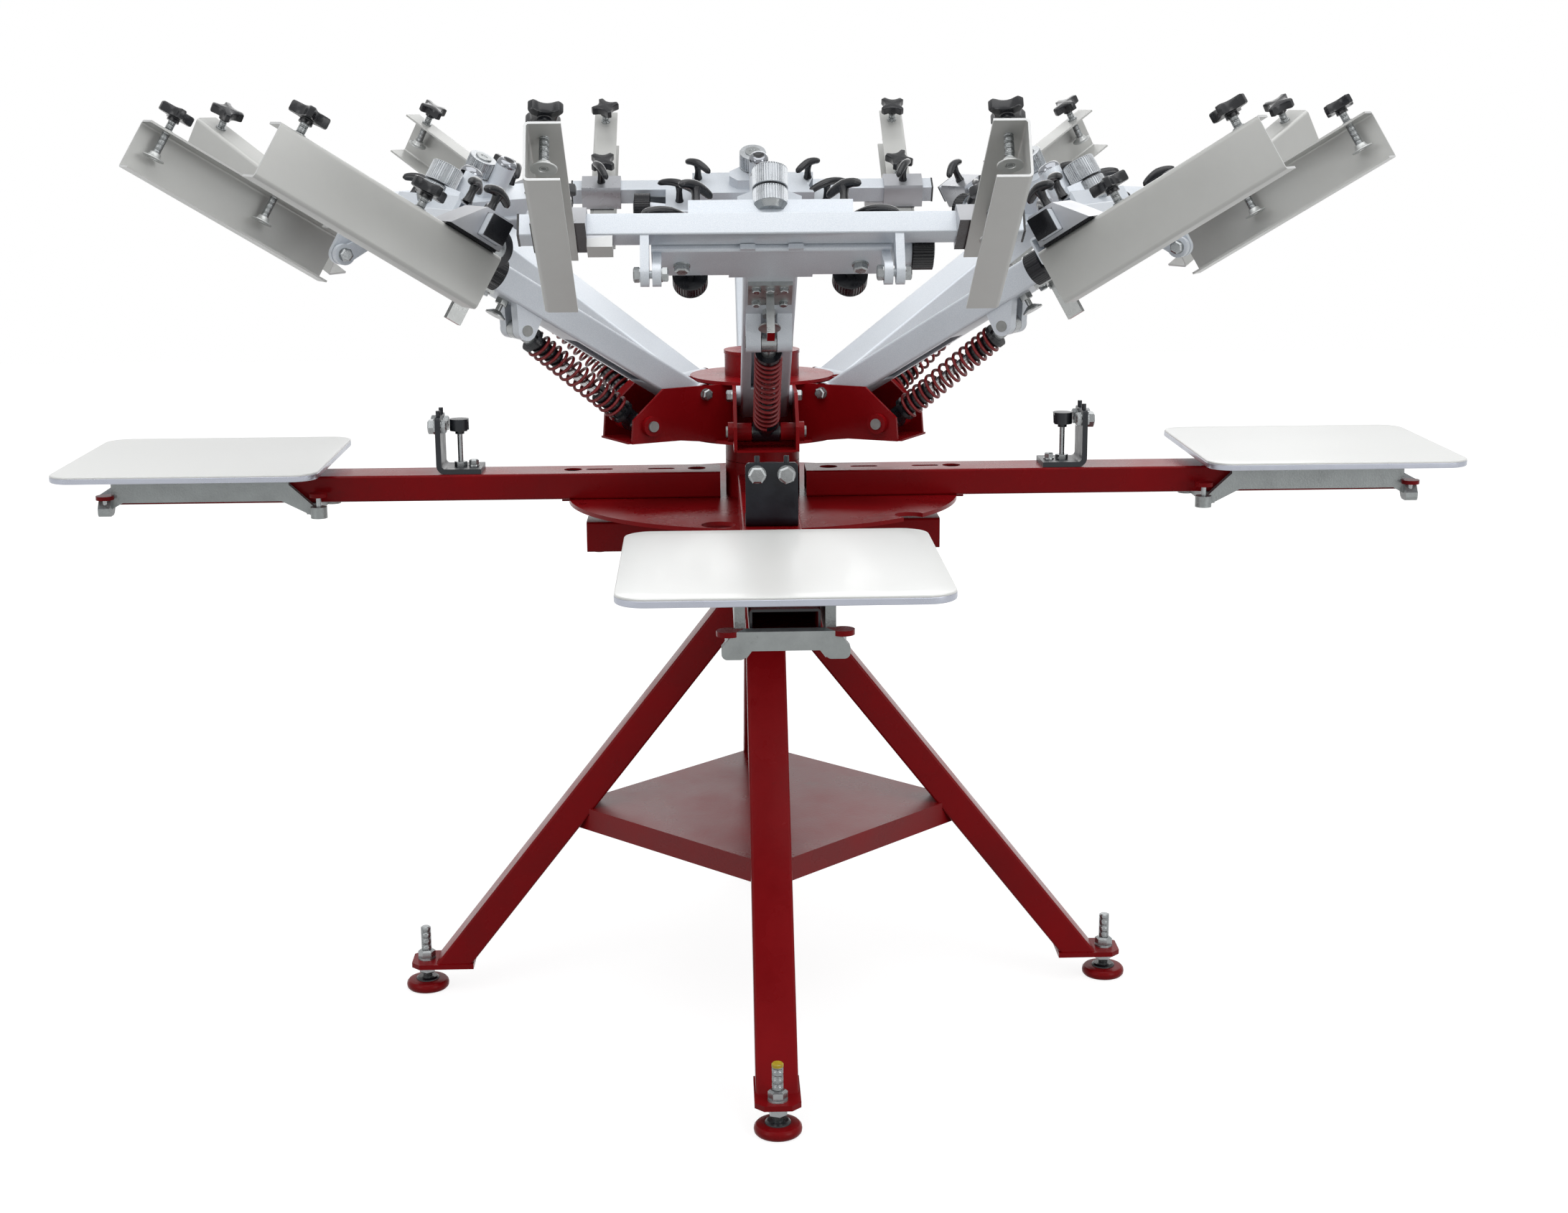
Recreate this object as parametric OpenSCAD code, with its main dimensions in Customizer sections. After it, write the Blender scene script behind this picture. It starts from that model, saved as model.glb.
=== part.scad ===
// Six-head, four-station carousel screen printing press on a four-leg stand.
// Millimetres. The carousel axis is Z, the floor is z = 0 and one platen station faces -Y.

/* [Stand] */
// Distance of each levelling foot from the carousel axis
foot_r = 551; // [520:1:600]
// Diameter of the round foot pads
pad_d = 68; // [50:1:90]
// Thickness of the foot pads
pad_h = 16; // [12:1:24]
// Thread diameter of the levelling studs
stud_d = 16; // [12:1:20]
// Height of a stud's tip above the floor
stud_top = 105; // [95:1:130]
// Height of the foot plates' underside above the floor
plate_z = 42; // [38:1:50]
// Thickness of the foot plates
plate_t = 8; // [6:1:10]
// Length of a foot plate along its leg
plate_l = 100; // [90:1:120]
// Width of a foot plate
plate_w = 65; // [62:1:80]
// Width of a leg tube across its station
leg_w = 60; // [40:1:60]
// Depth of a leg tube
leg_d = 45; // [35:1:50]
// How far a leg's centre line runs past the axis where it meets the cross
leg_cross = 25.6; // [20:0.1:30]
// Height of the shelf tray's top face
shelf_z = 308; // [250:1:400]
// Reach of the tray's corners past the legs' centre lines, before the legs notch them
shelf_bite = 10; // [5:1:16]
// Depth of the tray's turned-down lip
shelf_lip = 36; // [25:1:50]
// Thickness of the tray's sheet
sheet_t = 3; // [2:0.5:5]
// Length of each beam of the cross on top of the legs
beam_l = 546; // [480:1:580]
// Width of the cross beams
beam_w = 60; // [50:1:70]
// Height of the cross beams
beam_h = 47; // [40:1:55]
// Wall of all the square tubes
wall = 3; // [2:0.5:4]
// Radius of the tubes' long edges
edge_r = 4; // [2:0.5:6]

/* [Platen carousel] */
// Top face of the platen boards above the floor
platen_z = 876; // [860:1:900]
// Distance from the axis to a board's inner edge
platen_r = 657; // [640:1:680]
// Length of a platen board along its arm
platen_l = 391; // [360:1:420]
// Width of a platen board
platen_w = 380; // [340:1:400]
// Thickness of a platen board
board_t = 11; // [9:1:14]
// Corner radius of a platen board
board_r = 36; // [20:1:60]
// Width of a platen arm
arm_w = 80; // [70:1:84]
// Height of a platen arm
arm_h = 40; // [36:1:44]
// Outer end of a platen arm, from the axis
arm_end = 985; // [960:1:985]
// Inner end of a platen arm, from the axis
arm_start = 66; // [60:1:72]
// Space between an arm's top face and the board's underside
board_gap = 17; // [14:1:22]
// Radius of the index disc
disc_r = 300; // [280:1:310]
// Thickness of the index disc
disc_t = 6; // [5:1:8]
// Outer diameter of both hub tubes
hub_d = 114; // [108:1:120]
// Diameter of the fixed centre shaft
shaft_d = 50; // [40:1:60]
// Distance from the axis to a gate plate's outer face
gate_r = 499; // [480:1:520]
// Width of a gate plate
gate_w = 70; // [60:1:78]
// Height of a gate plate above the arm
gate_h = 87; // [75:1:95]
// Thickness of the gate's bent plate
gate_t = 8; // [6:1:10]

/* [Head carousel] */
// Number of printing heads is fixed at six, this is their radius to the tilt pivot
pivot_r = 127; // [124:1:135]
// Height of the tilt pivots above the floor
pivot_z = 976; // [970:1:985]
// Tilt of a head at rest, raised
tilt = 31.5; // [28:0.5:33]
// Inner width of a pivot bracket between its side plates
yoke_w = 84; // [80:1:88]
// Thickness of the bracket side plates
yoke_t = 5; // [4:0.5:6]
// Diameter of the tilt pins and strut pins
pin_d = 16; // [12:1:16]
// Distance from the axis to the strut's lower pin
strut_r = 221; // [215:1:225]
// Drop of the strut's lower pin below the tilt pivots
strut_drop = 40; // [38:1:43]
// Radius of the upper head disc
top_disc_r = 110; // [105:1:112]
// Radius of the lower head disc
low_disc_r = 120; // [112:1:125]

/* [Head] */
// Width of a head arm
head_w = 70; // [60:1:72]
// Height of a head arm and its T-box
head_h = 40; // [36:1:42]
// Distance from the pivot axis down to the arm's underside
head_drop = 28; // [26:1:29]
// Distance along the arm from pivot to the T-box's inner face
tbox_u = 440; // [430:1:445]
// Depth of the T-box along the arm
tbox_d = 70; // [60:1:75]
// Length of the T-box across the arm
tbox_l = 304; // [290:1:310]
// Side of the square crossbar
bar_s = 30; // [28:1:32]
// Length of the crossbar with its end caps
bar_l = 636; // [600:1:640]
// Distance along the arm from pivot to the crossbar's centre
bar_u = 527; // [526:1:535]
// Distance of the upper strut pin along the arm
clevis_u = 296.5; // [290:0.5:302]
// Distance of the upper strut pin below the pivot axis
clevis_v = 53.5; // [52:0.5:56]

/* [Screen clamps] */
// Length of a clamp channel
chan_l = 330; // [300:1:360]
// Height of a clamp channel
chan_h = 75; // [68:1:78]
// Flange width of a clamp channel
chan_f = 42; // [36:1:46]
// Sheet thickness of a clamp channel
chan_t = 3; // [2:0.5:4]
// Distance from a crossbar's end to the outer face of the channel near it
chan_in = 32; // [28:1:38]
// Reach of a clamp sleeve past each side of its channel
sleeve_over = 13; // [8:1:14]
// Distance along the arm from pivot to a channel's inner end
chan_u = 492; // [488:1:498]
// Clearance all round between a clamp sleeve and the crossbar
slide_gap = 0.5; // [0.4:0.1:1]
// Diameter of the clamp screws
screw_d = 9; // [8:0.5:12]

/* [Struts] */
// Outer diameter of the coil spring
coil_d = 39; // [36:1:40]
// Wire diameter of the coil spring
wire_d = 5; // [4:0.5:5.5]
// Turns of the coil spring
coil_turns = 11; // [8:1:12]
// Distance from each strut pin to the spring's seat
seat_x = 31.5; // [30:0.5:36]
// Outer diameter of the strut's end plugs
plug_d = 26; // [24:1:27]
// Reach of each plug from its pin
plug_x = 78; // [70:1:82]
// Diameter of the guide rod
rod_d = 14; // [10:1:15]
// Bore of the upper plug that the rod slides in
cup_d = 22; // [21:0.5:22.5]

/* [Hidden] */

$fn = 64;
eps = 0.01;
fit = 0.2;                 // radial play of pins and threads in their bores
paint_red = [0.42, 0.03, 0.05];
paint_silver = [0.80, 0.82, 0.85];
aluminium = [0.66, 0.66, 0.64];
zinc = [0.72, 0.72, 0.70];
plastic = [0.07, 0.07, 0.08];

// stations: the front one first, then counter-clockwise seen from above
station_front = -90;
arm_top = platen_z - board_t - board_gap;
arm_low = arm_top - arm_h;
beam_top = arm_low - disc_t - 32;
beam_low = beam_top - beam_h;
plate_top = plate_z + plate_t;
stud_hole = stud_d + 1;
nut_s = 1.5 * stud_d;      // width across a nut's flats
nut_h = 0.8 * stud_d;
leg_foot = foot_r - 47;    // centre of a leg's foot on its plate
leg_top = beam_low;
leg_lean = atan2(leg_foot + leg_cross, leg_top - plate_top);
shelf_r = leg_foot - (shelf_z - plate_top) * tan(leg_lean) + shelf_bite;
core_w = max(leg_w, beam_w) + 4;
core_h = 100;
platen_hub_top = arm_top + 14;
hub_play = 0.6;            // gap between the two hubs, and under the lower one
head_hub_low = platen_hub_top + hub_play;
upper_disc_z = pivot_z + 12;
lower_disc_z = pivot_z - 76;
strut_z = pivot_z - strut_drop;
hub_top = pivot_z + 50;
shaft_top = hub_top - 4;

// a head's own frame: X out along the arm, Y across it, Z up from the arm, pivot at the origin
head_low = -head_drop;
head_top = head_h - head_drop;
bar_v = -6;
chan_top = bar_v - bar_s / 2 - 7;
chan_y = bar_l / 2 - chan_in;
hinge_u = bar_u - 3;
hinge_v = head_low - 40;
chan_low = chan_top - chan_h;

// the strut, from its lower pin to its upper pin, in its station's upright plane
up_r = pivot_r + clevis_u * cos(tilt) + clevis_v * sin(tilt);
up_z = pivot_z + clevis_u * sin(tilt) - clevis_v * cos(tilt);
bumper_r = gate_r - 34;
bumper_top = arm_top + gate_t + 73;
strut_l = norm([up_r - strut_r, up_z - strut_z]);
strut_tilt = atan2(up_z - strut_z, up_r - strut_r);
rod_end = strut_l - plug_x + 12;

module at_station(angle) rotate([0, 0, station_front + angle]) children();

module at_head(i) at_station(60 * (i - 1)) translate([pivot_r, 0, pivot_z]) rotate([0, -tilt, 0]) children();

module at_strut(i) at_station(60 * (i - 1)) translate([strut_r, 0, strut_z])
    rotate([0, -strut_tilt, 0]) children();

// a block given by its low corner and high corner
module block(low, high) translate(low) cube(high - low);

// a bar along X with rounded long edges
module bar_x(x0, x1, width, z0, z1, r) translate([x0, 0, 0]) rotate([90, 0, 90]) linear_extrude(x1 - x0)
    translate([-width / 2, z0]) rounded_rect([width, z1 - z0], r);

// a bar along Y with rounded long edges
module bar_y(y0, y1, x0, x1, z0, z1, r) translate([0, y1, 0]) rotate([90, 0, 0]) linear_extrude(y1 - y0)
    translate([x0, z0]) rounded_rect([x1 - x0, z1 - z0], r);

// a cylinder across the arm, from y0 to y1
module across(x, z, d, y0, y1) translate([x, y1, z]) rotate([90, 0, 0]) cylinder(d = d, h = y1 - y0);

module hex_head(s, h) cylinder(d = s / cos(30), h = h, $fn = 6);

// a plate profile in X and Z, extruded across from y0 to y1
module side_plate(y0, y1) translate([0, y1, 0]) rotate([90, 0, 0]) linear_extrude(y1 - y0) children();

module rounded_rect(size, r) {
    translate([r, 0]) square([size.x - 2 * r, size.y]);
    translate([0, r]) square([size.x, size.y - 2 * r]);
    for (x = [r, size.x - r], y = [r, size.y - r]) translate([x, y]) circle(r);
}

// a slot along X with round ends, centred
module slot(length, width) {
    square([length - width, width], center = true);
    for (x = [-1, 1]) translate([x * (length - width) / 2, 0]) circle(d = width);
}

// ---------------------------------------------------------------- stand

// a bar that leans in with the legs, from the foot plate up to z = top
module leg_bar(depth, width, r, top) {
    reach = (top - plate_top) / cos(leg_lean) + 2 * leg_d;
    intersection() {
        translate([leg_foot, 0, plate_top]) rotate([0, -leg_lean, 0])
            translate([-depth / 2, -width / 2, -leg_d]) linear_extrude(reach) rounded_rect([depth, width], r);
        block([leg_w / 4, -leg_w / 2, plate_top], [foot_r + leg_d, leg_w / 2, top]);
    }
}

// one leg is hollow up to where the four meet under the cross
module leg() difference() {
    leg_bar(leg_d, leg_w, edge_r, leg_top);
    leg_bar(leg_d - 2 * wall, leg_w - 2 * wall, edge_r / 4, leg_top - 140);
}

module foot_plate() translate([0, 0, plate_z]) linear_extrude(plate_t) difference() {
    chamfer = plate_w / 5;
    outer = foot_r + 22;
    polygon([[outer - plate_l, -plate_w / 2], [outer - chamfer, -plate_w / 2],
        [outer, -plate_w / 2 + chamfer], [outer, plate_w / 2 - chamfer],
        [outer - chamfer, plate_w / 2], [outer - plate_l, plate_w / 2]]);
    translate([foot_r, 0]) circle(d = stud_hole);
}

module foot_nuts() translate([foot_r, 0, 0]) difference() {
    union() {
        translate([0, 0, plate_top]) cylinder(d = nut_s + 5, h = 3);
        translate([0, 0, plate_top + 3]) hex_head(nut_s, nut_h);
        translate([0, 0, plate_z - nut_h]) hex_head(nut_s, nut_h);
    }
    translate([0, 0, plate_z - nut_h - 1]) cylinder(d = stud_d + 2 * fit, h = plate_top + nut_h * 2);
}

module stand_frame() color(paint_red) {
    for (angle = [0 : 90 : 270]) at_station(angle) {
        leg();
        foot_plate();
        foot_nuts();
    }
    // the square core that the legs and the cross are welded to
    block([-core_w / 2, -core_w / 2, leg_top - core_h], [core_w / 2, core_w / 2, leg_top]);
    difference() {
        for (angle = [0, 90]) rotate(angle)
            bar_x(-beam_l / 2, beam_l / 2, beam_w, beam_low, beam_top, edge_r);
        for (angle = [0, 90]) rotate(angle)
            block([-beam_l / 2 - 1, -beam_w / 2 + wall, beam_low + wall],
                [beam_l / 2 + 1, beam_w / 2 - wall, beam_top - wall]);
    }
    for (angle = [0 : 90 : 270]) at_station(angle) translate([beam_l / 2 - 18, 0, beam_low - 4])
        cylinder(d = 20, h = 4 + wall);
    translate([0, 0, beam_low]) cylinder(d = shaft_d, h = shaft_top - beam_low);
    translate([0, 0, beam_top]) cylinder(d = hub_d, h = arm_low - disc_t - hub_play - beam_top);
}

module tray_shape(inset) rotate(45) square((shelf_r - inset) * sqrt(2), center = true);

module shelf_tray() color(paint_red) difference() {
    translate([0, 0, shelf_z - shelf_lip]) linear_extrude(shelf_lip) tray_shape(0);
    translate([0, 0, shelf_z - shelf_lip - 1]) linear_extrude(shelf_lip + 1 - sheet_t)
        tray_shape(sheet_t * sqrt(2));
    // each corner is notched to sit on the inner face and between the sides of its leg
    for (angle = [0 : 90 : 270]) at_station(angle) side_plate(-leg_w / 2, leg_w / 2) polygon([
        for (z = [shelf_z - shelf_lip - 1, shelf_z + 1])
            [leg_foot - (z - plate_top) * tan(leg_lean) - leg_d / 2 / cos(leg_lean), z],
        [shelf_r + 10, shelf_z + 1],
        [shelf_r + 10, shelf_z - shelf_lip - 1]]);
}

module foot(angle) at_station(angle) translate([foot_r, 0, 0]) {
    color(paint_red) rotate_extrude() {
        square([pad_d / 2 - pad_h / 2, pad_h]);
        translate([pad_d / 2 - pad_h / 2, pad_h / 2]) circle(pad_h / 2);
        square([pad_d / 2 - pad_h / 3, pad_h / 2]);
    }
    color(plastic) translate([0, 0, pad_h - eps]) cylinder(d1 = pad_d * 0.55, d2 = pad_d * 0.42, h = 5);
    color(zinc) translate([0, 0, pad_h]) cylinder(d = stud_d, h = stud_top - pad_h);
}

// ---------------------------------------------------------------- platen carousel

module index_disc() color(paint_red) {
    difference() {
        union() {
            translate([0, 0, arm_low - disc_t]) cylinder(r = disc_r, h = disc_t, $fn = 128);
            for (angle = [0 : 90 : 270]) at_station(angle)
                block([disc_r - 20, -arm_w / 4, arm_low - disc_t], [disc_r + 10, arm_w / 4, arm_low]);
        }
        translate([0, 0, arm_low - disc_t - 1]) {
            cylinder(d = shaft_d + 2 * fit, h = disc_t + 2);
            // window over the index pin, a rigging hole and the index notch
            rotate(station_front - 15) translate([272, 0]) cylinder(d = 50, h = disc_t + 2);
            rotate(station_front - 74) translate([286, 0]) cylinder(d = 12, h = disc_t + 2);
            rotate(station_front + 46) translate([disc_r, 0]) linear_extrude(disc_t + 2) slot(60, 44);
        }
    }
    translate([0, 0, arm_low]) difference() {
        cylinder(d = hub_d, h = platen_hub_top - arm_low);
        translate([0, 0, -1]) cylinder(d = shaft_d + 2 * fit, h = platen_hub_top - arm_low + 2);
    }
}

module platen_arms() color(paint_red) for (angle = [0 : 90 : 270]) at_station(angle) difference() {
    bar_x(arm_start, arm_end, arm_w, arm_low, arm_top, edge_r);
    block([arm_start - 1, -arm_w / 2 + wall, arm_low + wall],
        [arm_end + 1, arm_w / 2 - wall, arm_top - wall]);
    translate([0, 0, arm_top - wall - 1]) linear_extrude(wall + 2) {
        for (r = [102, 293]) translate([r, 0]) circle(d = 28);
        for (r = [157, 252]) translate([r, 0]) slot(42, 12);
    }
}

// the bent gate plate, its two guide bolts, the rubber bumper on its post and the clamping bolt
module gate() {
    bolt_gap = 39;
    bolt_z = arm_top + 72;
    inner = gate_r - 68;
    bend = 14;
    color(plastic) difference() {
        intersection() {
            side_plate(-gate_w / 2, gate_w / 2) {
                translate([inner, arm_top]) square([gate_r - bend - inner, gate_t]);
                translate([gate_r - gate_t, arm_top + bend]) square([gate_t, gate_h - bend]);
                translate([gate_r - bend, arm_top + bend]) intersection() {
                    difference() {
                        circle(bend);
                        circle(bend - gate_t);
                    }
                    translate([0, -bend]) square(bend);
                }
            }
            bar_x(inner - 1, gate_r + 1, gate_w, arm_top - gate_t, arm_top + gate_h, 6);
        }
        for (y = [-bolt_gap / 2, bolt_gap / 2]) translate([gate_r - gate_t - 1, y, bolt_z])
            rotate([0, 90, 0]) cylinder(d = 14, h = gate_t + 2);
    }
    color(zinc) for (y = [-bolt_gap / 2, bolt_gap / 2]) translate([0, y, bolt_z]) rotate([0, 90, 0]) {
        translate([0, 0, gate_r]) cylinder(d = 25, h = 5);
        translate([0, 0, gate_r + 5]) hex_head(18, 8);
        translate([0, 0, gate_r - gate_t - 9]) hex_head(20, 9);
        translate([0, 0, gate_r - gate_t - 9]) cylinder(d = 14, h = gate_t + 9 + eps);
    }
    // the set screws that hold the guide bolts
    color(plastic) for (y = [-bolt_gap / 2, bolt_gap / 2])
        translate([gate_r - gate_t / 2, y, arm_top + gate_h]) cylinder(d = 7, h = 9);
    color(zinc) translate([bumper_r, 0, arm_top + gate_t]) {
        hex_head(17, 7);
        cylinder(d = 8, h = 56);
        translate([0, 0, 50]) cylinder(d = 14, h = 5);
    }
    color(plastic) translate([bumper_r, 0, bumper_top - 18]) cylinder(d = 30, h = 18);
    color(zinc) translate([gate_r - 54, 0, arm_top + gate_t]) {
        cylinder(d = 17, h = 2);
        translate([0, 0, 2]) hex_head(13, 8);
        cylinder(d = 7, h = 14);
    }
}

module gate_brackets() for (angle = [0 : 90 : 270]) at_station(angle) gate();

module platen(angle) at_station(angle) color("white")
    translate([platen_r, -platen_w / 2, platen_z - board_t]) linear_extrude(board_t)
        rounded_rect([platen_l, platen_w], board_r);

// the cast yoke across a bracket's outer end, just past the arm's open end
module bracket_yoke(x0, thick, board_low, foot_y) translate([x0, 0, board_low]) rotate([90, 0, 90])
    linear_extrude(thick) {
        polygon([[-foot_y + 7, -38], [foot_y - 7, -38], [foot_y + 8, -57], [foot_y + 8, -62],
            [foot_y - 20, -68], [foot_y - 26, -60], [26 - foot_y, -60], [20 - foot_y, -68],
            [-foot_y - 8, -62], [-foot_y - 8, -57]]);
        for (side = [-1, 1]) translate([side * (foot_y - 6), -63]) slot(28, 14);
    }

// cast bracket under a board: two side rails with sloping truss ends, webs that rest on the arm,
// a yoke past the arm's end, a clamp bar under the arm and a screw boss at each corner
module platen_bracket(angle) at_station(angle) {
    board_low = platen_z - board_t;
    inner_end = platen_r + 18;
    outer_end = arm_end + 10;
    rail_in = arm_w / 2 + 5;
    rail_out = rail_in + 12;
    boss_y = rail_out + 7;
    color(aluminium) {
        for (side = [-1, 1]) {
            y0 = side > 0 ? rail_in : -rail_out;
            side_plate(y0, y0 + rail_out - rail_in) polygon([
                [inner_end + 42, board_low], [outer_end - 8, board_low],
                [outer_end - 8, board_low - 60], [outer_end - 24, board_low - 51],
                [inner_end + 57, board_low - 51], [inner_end + 12, board_low - 74],
                [inner_end + 4, board_low - 74], [inner_end + 4, board_low - 64],
                [inner_end + 45, board_low - 26]]);
            // outward flange that the board is screwed to, tapered at its inner end
            mirror([0, side > 0 ? 0 : 1, 0]) translate([0, 0, board_low - 9]) linear_extrude(9)
                polygon([[inner_end + 22, rail_in], [outer_end - 2, rail_in], [outer_end - 2, boss_y + 7],
                    [inner_end + 60, boss_y + 7]]);
            translate([inner_end, side * boss_y, board_low - 76]) cylinder(d = 25, h = 17);
            translate([inner_end + 8, 0, 0]) block([-8, side > 0 ? rail_out - eps : -boss_y, board_low - 74],
                [4, side > 0 ? boss_y : -rail_out + eps, board_low - 62]);
            for (x = [inner_end + 78, outer_end - 60])
                translate([x, side * (boss_y - 1), board_low - 19]) cylinder(d = 13, h = 11);
        }
        bracket_yoke(outer_end - 8, 18, board_low, boss_y);
        // webs that rest on the arm's top face
        for (x = [inner_end + 62, outer_end - 40])
            block([x - 9, -rail_in - eps, arm_top + fit], [x + 9, rail_in + eps, board_low]);
        // clamp bar under the arm
        block([inner_end + 4, -rail_in - eps, board_low - 74], [inner_end + 22, rail_in + eps, arm_low - fit]);
    }
    color(zinc) for (x = [inner_end, outer_end], side = [-1, 1])
        translate([x, side * boss_y, board_low - 60]) cylinder(d = 8, h = 22);
    color(paint_red) for (x = [inner_end, outer_end], side = [-1, 1])
        translate([x, side * boss_y, board_low - 44]) cylinder(d = 27, h = 6);
}

// ---------------------------------------------------------------- head carousel

module yoke_plate() polygon([[82, lower_disc_z - 1], [171, lower_disc_z + 10], [252, lower_disc_z + 11],
    [249, strut_z + 10], [198, upper_disc_z + 1], [82, upper_disc_z + 1]]);

// the bracket's folded floor, with a small lip at its outer end
module yoke_floor() polygon([[82, lower_disc_z - 1], [171, lower_disc_z + 10], [257, lower_disc_z + 11],
    [257, lower_disc_z + 14], [171, lower_disc_z + 13], [82, lower_disc_z + 2]]);

// side plates, tilt pin and strut pin of one pivot bracket
module pivot_bracket() {
    inside = yoke_w / 2;
    outside = inside + yoke_t;
    color(paint_red) side_plate(-inside - eps, inside + eps) yoke_floor();
    color(paint_red) for (side = [-1, 1]) {
        y0 = side > 0 ? inside : -outside;
        side_plate(y0, y0 + yoke_t) yoke_plate();
        across(strut_r, strut_z, pin_d + 10, side > 0 ? 21 : -inside - eps, side > 0 ? inside + eps : -21);
        across(strut_r, strut_z, 29, side > 0 ? outside - eps : -outside - 8, side > 0 ? outside + 8 : -outside + eps);
    }
    color(zinc) {
        across(pivot_r, pivot_z, pin_d, -outside - 12, outside + 12);
        for (side = [-1, 1]) translate([pivot_r, side * outside, pivot_z]) rotate([-90 * side, 0, 0]) {
            cylinder(d = 30, h = 2.5);
            translate([0, 0, 2.5]) hex_head(24, 8);
        }
        across(strut_r, strut_z, pin_d, -outside - 11, outside + 11);
    }
}

module head_hub() {
    bore = shaft_d / 2 + fit;
    tube = hub_d / 2;
    color(paint_red) {
        rotate_extrude() polygon([[bore, head_hub_low], [tube, head_hub_low], [tube, hub_top],
            [tube + 1, hub_top], [tube + 1, hub_top + 5], [0, hub_top + 5], [0, hub_top],
            [bore, hub_top], [bore, hub_top - 30], [tube - 7, hub_top - 30],
            [tube - 7, head_hub_low + 30], [bore, head_hub_low + 30]]);
        for (disc = [[upper_disc_z, top_disc_r], [lower_disc_z, low_disc_r]])
            translate([0, 0, disc[0]]) difference() {
                cylinder(r = disc[1], h = 5, $fn = 96);
                translate([0, 0, -1]) cylinder(r = tube - 3, h = 7);
            }
    }
    for (i = [1 : 6]) at_station(60 * (i - 1)) pivot_bracket();
}

// ---------------------------------------------------------------- heads

// a stem that carries a curved bar
module t_handle(length, lift) {
    r = length * 0.62;
    cylinder(d1 = 14, d2 = 10, h = lift);
    translate([0, 5, lift + 4 - r]) rotate([90, 0, 0]) linear_extrude(10) intersection() {
        difference() {
            circle(r + 6);
            circle(r - 4);
        }
        translate([-length / 2, 0]) square([length, r + 7]);
    }
}

// a four-armed knob with a raised middle
module star_knob() {
    linear_extrude(11) {
        circle(d = 22);
        for (a = [0, 90]) rotate(a + 45) slot(52, 12);
        for (a = [0 : 90 : 270]) rotate(a + 45) translate([19, 0]) circle(d = 14);
    }
    translate([0, 0, 10]) cylinder(d1 = 20, d2 = 12, h = 4);
    translate([0, 0, -6]) cylinder(d = 15, h = 7);
}

// lugs that the crossbar swings on, from the tube's underside down to the hinge bolt
module hinge_lugs(y0, x0, x1, top) for (side = [-1, 1]) mirror([0, side > 0 ? 0 : 1, 0]) difference() {
    side_plate(y0, y0 + 11) {
        translate([hinge_u, hinge_v]) circle(15);
        polygon([[x0, top], [x1, top], [hinge_u + 15, hinge_v], [hinge_u - 15, hinge_v]]);
    }
    across(hinge_u, hinge_v, 10 + 2 * fit, y0 - 1, y0 + 12);
}

// registration tongue on its bolted plate, which runs between the gate's two bolts
module tongue() {
    block([368, -29, head_low - 6], [424, 29, head_low - eps]);
    block([380, -5, head_low - 52], [404, 5, head_low - 6 + eps]);
}

// the swivel foot that comes down on the bumper
module stop_foot() {
    foot_top = head_low - 19;
    translate([338, 0, head_low - 8]) hex_head(17, 8 - eps);
    translate([338, 0, foot_top]) cylinder(d = 8, h = 18);
    translate([338, 0, foot_top - 5]) cylinder(d1 = 30, d2 = 12, h = 6);
    translate([338, 0, foot_top - 7]) cylinder(d = 30, h = 2 + eps);
}

module head_arm(i) at_head(i) {
    half_w = head_w / 2;
    box_end = tbox_u + tbox_d;
    bush = yoke_w / 2 - 0.5;
    color(paint_silver) {
        difference() {
            union() {
                bar_x(-15, tbox_u + wall, head_w, head_low, head_top, edge_r);
                across(0, 0, 30, -bush, bush);
            }
            block([18, -half_w + wall, head_low + wall], [tbox_u, half_w - wall, head_top - wall]);
            across(0, 0, pin_d + 2 * fit, -half_w - 10, half_w + 10);
            // the spring folds up into this slot as the head comes down
            block([85, -coil_d / 2 - 2, head_low - 1], [215, coil_d / 2 + 2, head_low + wall + 1]);
        }
        difference() {
            bar_y(-tbox_l / 2, tbox_l / 2, tbox_u, box_end, head_low, head_top, edge_r);
            block([tbox_u + wall, -tbox_l / 2 - 1, head_low + wall],
                [box_end - wall, tbox_l / 2 - wall, head_top - wall]);
        }
        block([tbox_u - 4, -54, head_low], [tbox_u + edge_r, 54, head_low + 6]);
        for (side = [-1, 1]) block([box_end - eps, side > 0 ? 21 : -40, head_low - 1],
            [box_end + 6, side > 0 ? 40 : -21, head_low + 6]);
        hinge_lugs(139, hinge_u - 38, box_end - edge_r, head_low + eps);
        // clevis for the strut
        for (side = [-1, 1]) mirror([0, side > 0 ? 0 : 1, 0]) side_plate(11, 31) {
            translate([clevis_u, -clevis_v]) circle(14);
            polygon([[clevis_u - 12, head_low + eps], [clevis_u + 34, head_low + eps],
                [clevis_u + 13, -clevis_v - 5], [clevis_u - 14, -clevis_v]]);
        }
    }
    color(zinc) {
        across(clevis_u, -clevis_v, pin_d, -32, 32);
        tongue();
        stop_foot();
    }
    color(paint_red) block([380, -5, head_low - 64], [404, 5, head_low - 52]);
}

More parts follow.
